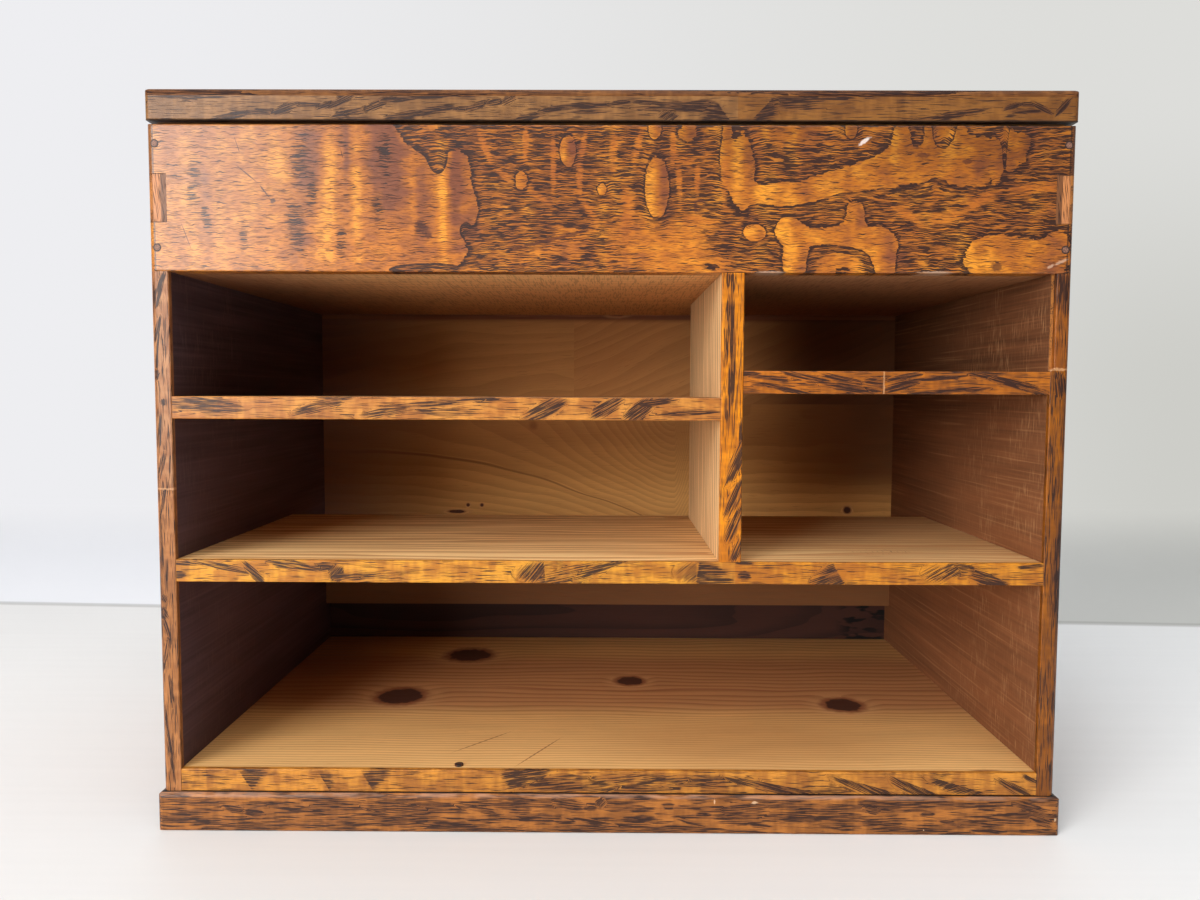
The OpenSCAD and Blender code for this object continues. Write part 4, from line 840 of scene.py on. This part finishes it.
# What is painted over each strip: worn marks and seams, a painted highlight on the left strips and painted
# shade on the lid's front strips.
strip_wear_and_light = {
    "plinth_front": rubbed_arris, "lid_left": painted_lid_gap_shade, "lid_right": painted_lid_gap_shade,
    "left_upper": arris_highlight_and_seam, "left_lower": arris_highlight_and_seam, "right_upper": right_seam,
    "right_lower": right_seam, "upper_right_left": shelf_seam, "upper_right_right": shelf_seam,
}
pores_between = {
    "plinth_front": 0.75, "lid_left": 0.15, "lid_right": 0.1, "right_lower": 0.5, "left_upper": 0.3,
    "left_lower": 0.35, "right_upper": 0.4, "divider_strip": 0.25, "upper_right_left": 0.35,
    "upper_right_right": 0.35, "bottom_edging": 0.15,
}
plinth_pair = tint(113, 68, 34), tint(150, 92, 43)
lid_pair = tint(98, 60, 33), tint(126, 80, 41)

finishes = {
    "front_panel": figured_ash(),
    "bottom_board": floor_board(),
    "middle_shelf": middle_shelf_board(),
    "upper_shelf": shelf_board("shelf_cedar_upper", "xyz", tint(196, 150, 104), tint(158, 108, 66)),
    "divider": shelf_board("shelf_cedar_divider", "zyx", tint(238, 194, 138), tint(124, 74, 40), 4.6, 3),
    "lining_lower": lining_low(),
    "lining_upper_left": lining_up("lining_pine_left", 5, tint(194, 138, 78), tint(140, 90, 50)),
    "lining_upper_right": lining_up("lining_pine_right", 24, tint(190, 132, 74), tint(132, 82, 46)),
    "outer_back_lower": back_board("back_cedar_lower", 0),
    "outer_back_upper": back_board("back_cedar_upper", 1),
    "compartment_floor": ceiling_board(),
    "compartment_back": compartment_back_board(),
    # The left side's inner colour is darker and bluer than the right's: painted shade and cool light on the
    # wall that faces away from the window.
    "left_side": side_board("side_ash_left", tint(84, 62, 66), tint(104, 80, 78), 70),
    "right_side": side_board("side_ash_right", tint(126, 78, 46), tint(188, 142, 98), 160),
    "lid_top": ringed_ash("lid_ash_top", "xyz", (8, 262), 8, lid_pair, None, 34, 0.3),
    "lid_left_edging": ringed_ash("lid_ash_left", "yzx", (250, -140), 7, lid_pair),
    "lid_right_edging": ringed_ash("lid_ash_right", "yzx", (250, 140), 7, lid_pair),
    "lid_back_rail": ringed_ash("lid_ash_back", "xzy", (252, 76), 7, lid_pair),
    "plinth_back": ringed_ash("plinth_ash_back", "xzy", (18, 92), 6, plinth_pair, rubbed_arris),
    "plinth_left": ringed_ash("plinth_ash_left", "yzx", (-4, -160), 6, plinth_pair, rubbed_arris),
    "plinth_right": ringed_ash("plinth_ash_right", "yzx", (16, 158), 6, plinth_pair, rubbed_arris),
    "lid_core": shelf_board("core_cedar_board", "xyz", tint(196, 150, 100), tint(156, 106, 64), 4.5, 6),
    "nails": nail_finish(),
    "panel_pegs": peg_finish(),
    "brass": metal("hinge_brass_worn", tint(148, 120, 74), tint(112, 86, 52), 0.45),
    "steel": metal("pin_steel_worn", tint(168, 168, 166), tint(96, 92, 88), 0.3, 0.2),
}
for strip, looks in strips.items():
    finishes[strip] = edging(strip, *looks, strip_wear_and_light.get(strip), pores_between.get(strip, 0.2))

# The finish of each piece that doesn't take the one of its own name.
finish_of = {
    "left_edging_lower": "left_lower", "left_edging_upper": "left_upper",
    "right_edging_lower": "right_lower", "right_edging_upper": "right_upper",
    "middle_edging_left": "middle_left", "middle_edging_right": "middle_right",
    "divider_edging": "divider_strip", "upper_left_shelf": "upper_shelf",
    "upper_right_shelf": "upper_shelf", "upper_left_edging": "upper_left",
    "upper_right_edging_left": "upper_right_left", "upper_right_edging_right": "upper_right_right",
    "lid_front_edging_left": "lid_left", "lid_front_edging_right": "lid_right",
    "back_nails": "nails", "floor_nail": "nails", "body_hinge_screws": "brass",
    "lid_hinge_screws": "brass", "hinge_left_pin": "steel", "hinge_right_pin": "steel",
    "hinge_left_body_leaf": "brass", "hinge_left_lid_leaf": "brass",
    "hinge_right_body_leaf": "brass", "hinge_right_lid_leaf": "brass",
}
for name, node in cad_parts.items():
    node.data.materials.clear()
    node.data.materials.append(finishes[finish_of.get(name, name)])

# -------- floor, light and camera


def add_sheet(name, size, tilt, middle, finish):
    """Adds a flat part of the room: its half sizes, its tilt in degrees and its middle."""
    shape = bmesh.new()
    bmesh.ops.create_grid(shape, x_segments=1, y_segments=1, size=1)
    bmesh.ops.scale(shape, vec=(*size, 1), verts=shape.verts)
    turned = Matrix.Rotation(math.radians(tilt), 3, "X")
    bmesh.ops.rotate(shape, cent=(0, 0, 0), matrix=turned, verts=shape.verts)
    bmesh.ops.translate(shape, vec=middle, verts=shape.verts)
    mesh = bpy.data.meshes.new(name)
    shape.to_mesh(mesh)
    shape.free()
    mesh.materials.append(finish)
    made = bpy.data.objects.new(name, mesh)
    bpy.context.scene.collection.objects.link(made)


def wall_color(f):
    """A wall painted with light and shade: lighter at the left, towards the window, and greyer low down at
    the right.

    Side is how far aside a point lies, for its distance from a place in front of the box."""
    side = f.x / (f.y + 387)
    color = f.mix(f.rise(side, -0.65, 0.55), tint(238, 238, 241), tint(221, 221, 218))
    return f.mix(f.rise(side, 0.2, 0.65) * f.fall(f.z, 150, 620), color, tint(205, 205, 200))


def seen_bright(f, surface, color, share):
    """Shows the colour itself to the camera and in reflections, by a share, instead of the lit surface."""
    glow = f.node("Emission", {}, {"Color": color, "Strength": 1})
    paths = f.node("LightPath", {}, {}, "Is Camera Ray").socket.node
    seen = [Value(f, paths.outputs[ray]) for ray in ("Is Camera Ray", "Is Glossy Ray", "Is Transmission Ray")]
    share = f.most(f.most(seen[0], seen[1]), seen[2]) * share
    return f.finished(f.node("MixShader", {}, {0: share, 1: surface, 2: glow}))


def wall_paint():
    """The pale wall, shown in its own colour."""
    f = Finish("wall_paint")
    color = wall_color(f)
    return seen_bright(f, f.node("BsdfDiffuse", {}, {"Color": color}), color, 1)


def table_paint():
    """A pale table whose far edge shows behind the box, and the same pale wall beyond it."""
    f = Finish("table_paint", "xyz")
    off_edge = f.y + f.x * 0.056 - TABLE_EDGE
    # Painted light: the table is lighter towards the right, to make up for the box's shadow and the lamps'
    # falloff there.
    table = f.mix(f.rise(f.x, -40, 260), tint(229, 227, 224), tint(246, 246, 245))
    streaks = f.noise((160, 5, 5), 2)
    table = f.shade(table, 0.965 + streaks * 0.05)
    color = f.mix(f.rise(off_edge, -2, 2), table, wall_color(f))
    # Painted shadow: a soft dark line along the table's far edge.
    edge_shadow_line = f.fall(abs(off_edge), 2, 7)
    color = f.mix(edge_shadow_line * 0.55, color, tint(160, 158, 152))
    surface = f.node("BsdfPrincipled", {}, {"Base Color": color, "Roughness": 0.5})
    return seen_bright(f, surface, wall_color(f), f.rise(f.y, 300, 800))


add_sheet("floor", (3, 2), 0, (0, -1, 0), table_paint())
add_sheet("wall", (3, 1.5), 90, (0, 1, 1.5), wall_paint())


def add_light(name, place, aim, size, power):
    """Adds a rectangular lamp, in metres and watts."""
    data = bpy.data.lights.new(name, "AREA")
    data.shape = "RECTANGLE"
    data.size, data.size_y = size
    data.energy = power
    light = bpy.data.objects.new(name, data)
    bpy.context.scene.collection.objects.link(light)
    light.location = place
    light.rotation_euler = (Vector(aim) - Vector(place)).to_track_quat("-Z", "Y").to_euler()


add_light("window", (-0.98, -1.31, 0.52), (0, -0.05, 0.15), (0.85, 0.95), 28.5)
add_light("ceiling_light", (-0.1, -0.6, 1.5), (0, -0.1, 0), (1.6, 1.6), 22)

world = bpy.data.worlds.new("room")
bpy.context.scene.world = world
world.use_nodes = True
daylight = world.node_tree.nodes["Background"]
daylight.inputs["Color"].default_value = tint(208, 220, 236)
daylight.inputs["Strength"].default_value = 0.2

# The camera's place and turn, fitted to the corners of the bays.
camera_place = (-0.001457, -0.387317, 0.148879)
yaw, pitch, roll = (math.radians(turn) for turn in (-0.308, 3.592, 0.206))
forward = Vector((math.sin(yaw) * math.cos(pitch), math.cos(yaw) * math.cos(pitch), -math.sin(pitch)))
level_right = Vector((math.cos(yaw), -math.sin(yaw), 0))
level_up = level_right.cross(forward)
right = level_right * math.cos(roll) + level_up * math.sin(roll)
up = level_up * math.cos(roll) - level_right * math.sin(roll)
lens = bpy.data.cameras.new("camera")
lens.lens = 27
lens.sensor_width = 36
lens.clip_start = 0.01
camera = bpy.data.objects.new("camera", lens)
bpy.context.scene.collection.objects.link(camera)
turn = Matrix((right, up, -forward)).transposed().to_4x4()
camera.matrix_world = Matrix.Translation(camera_place) @ turn
bpy.context.scene.camera = camera

bpy.context.scene.view_settings.view_transform = "Standard"
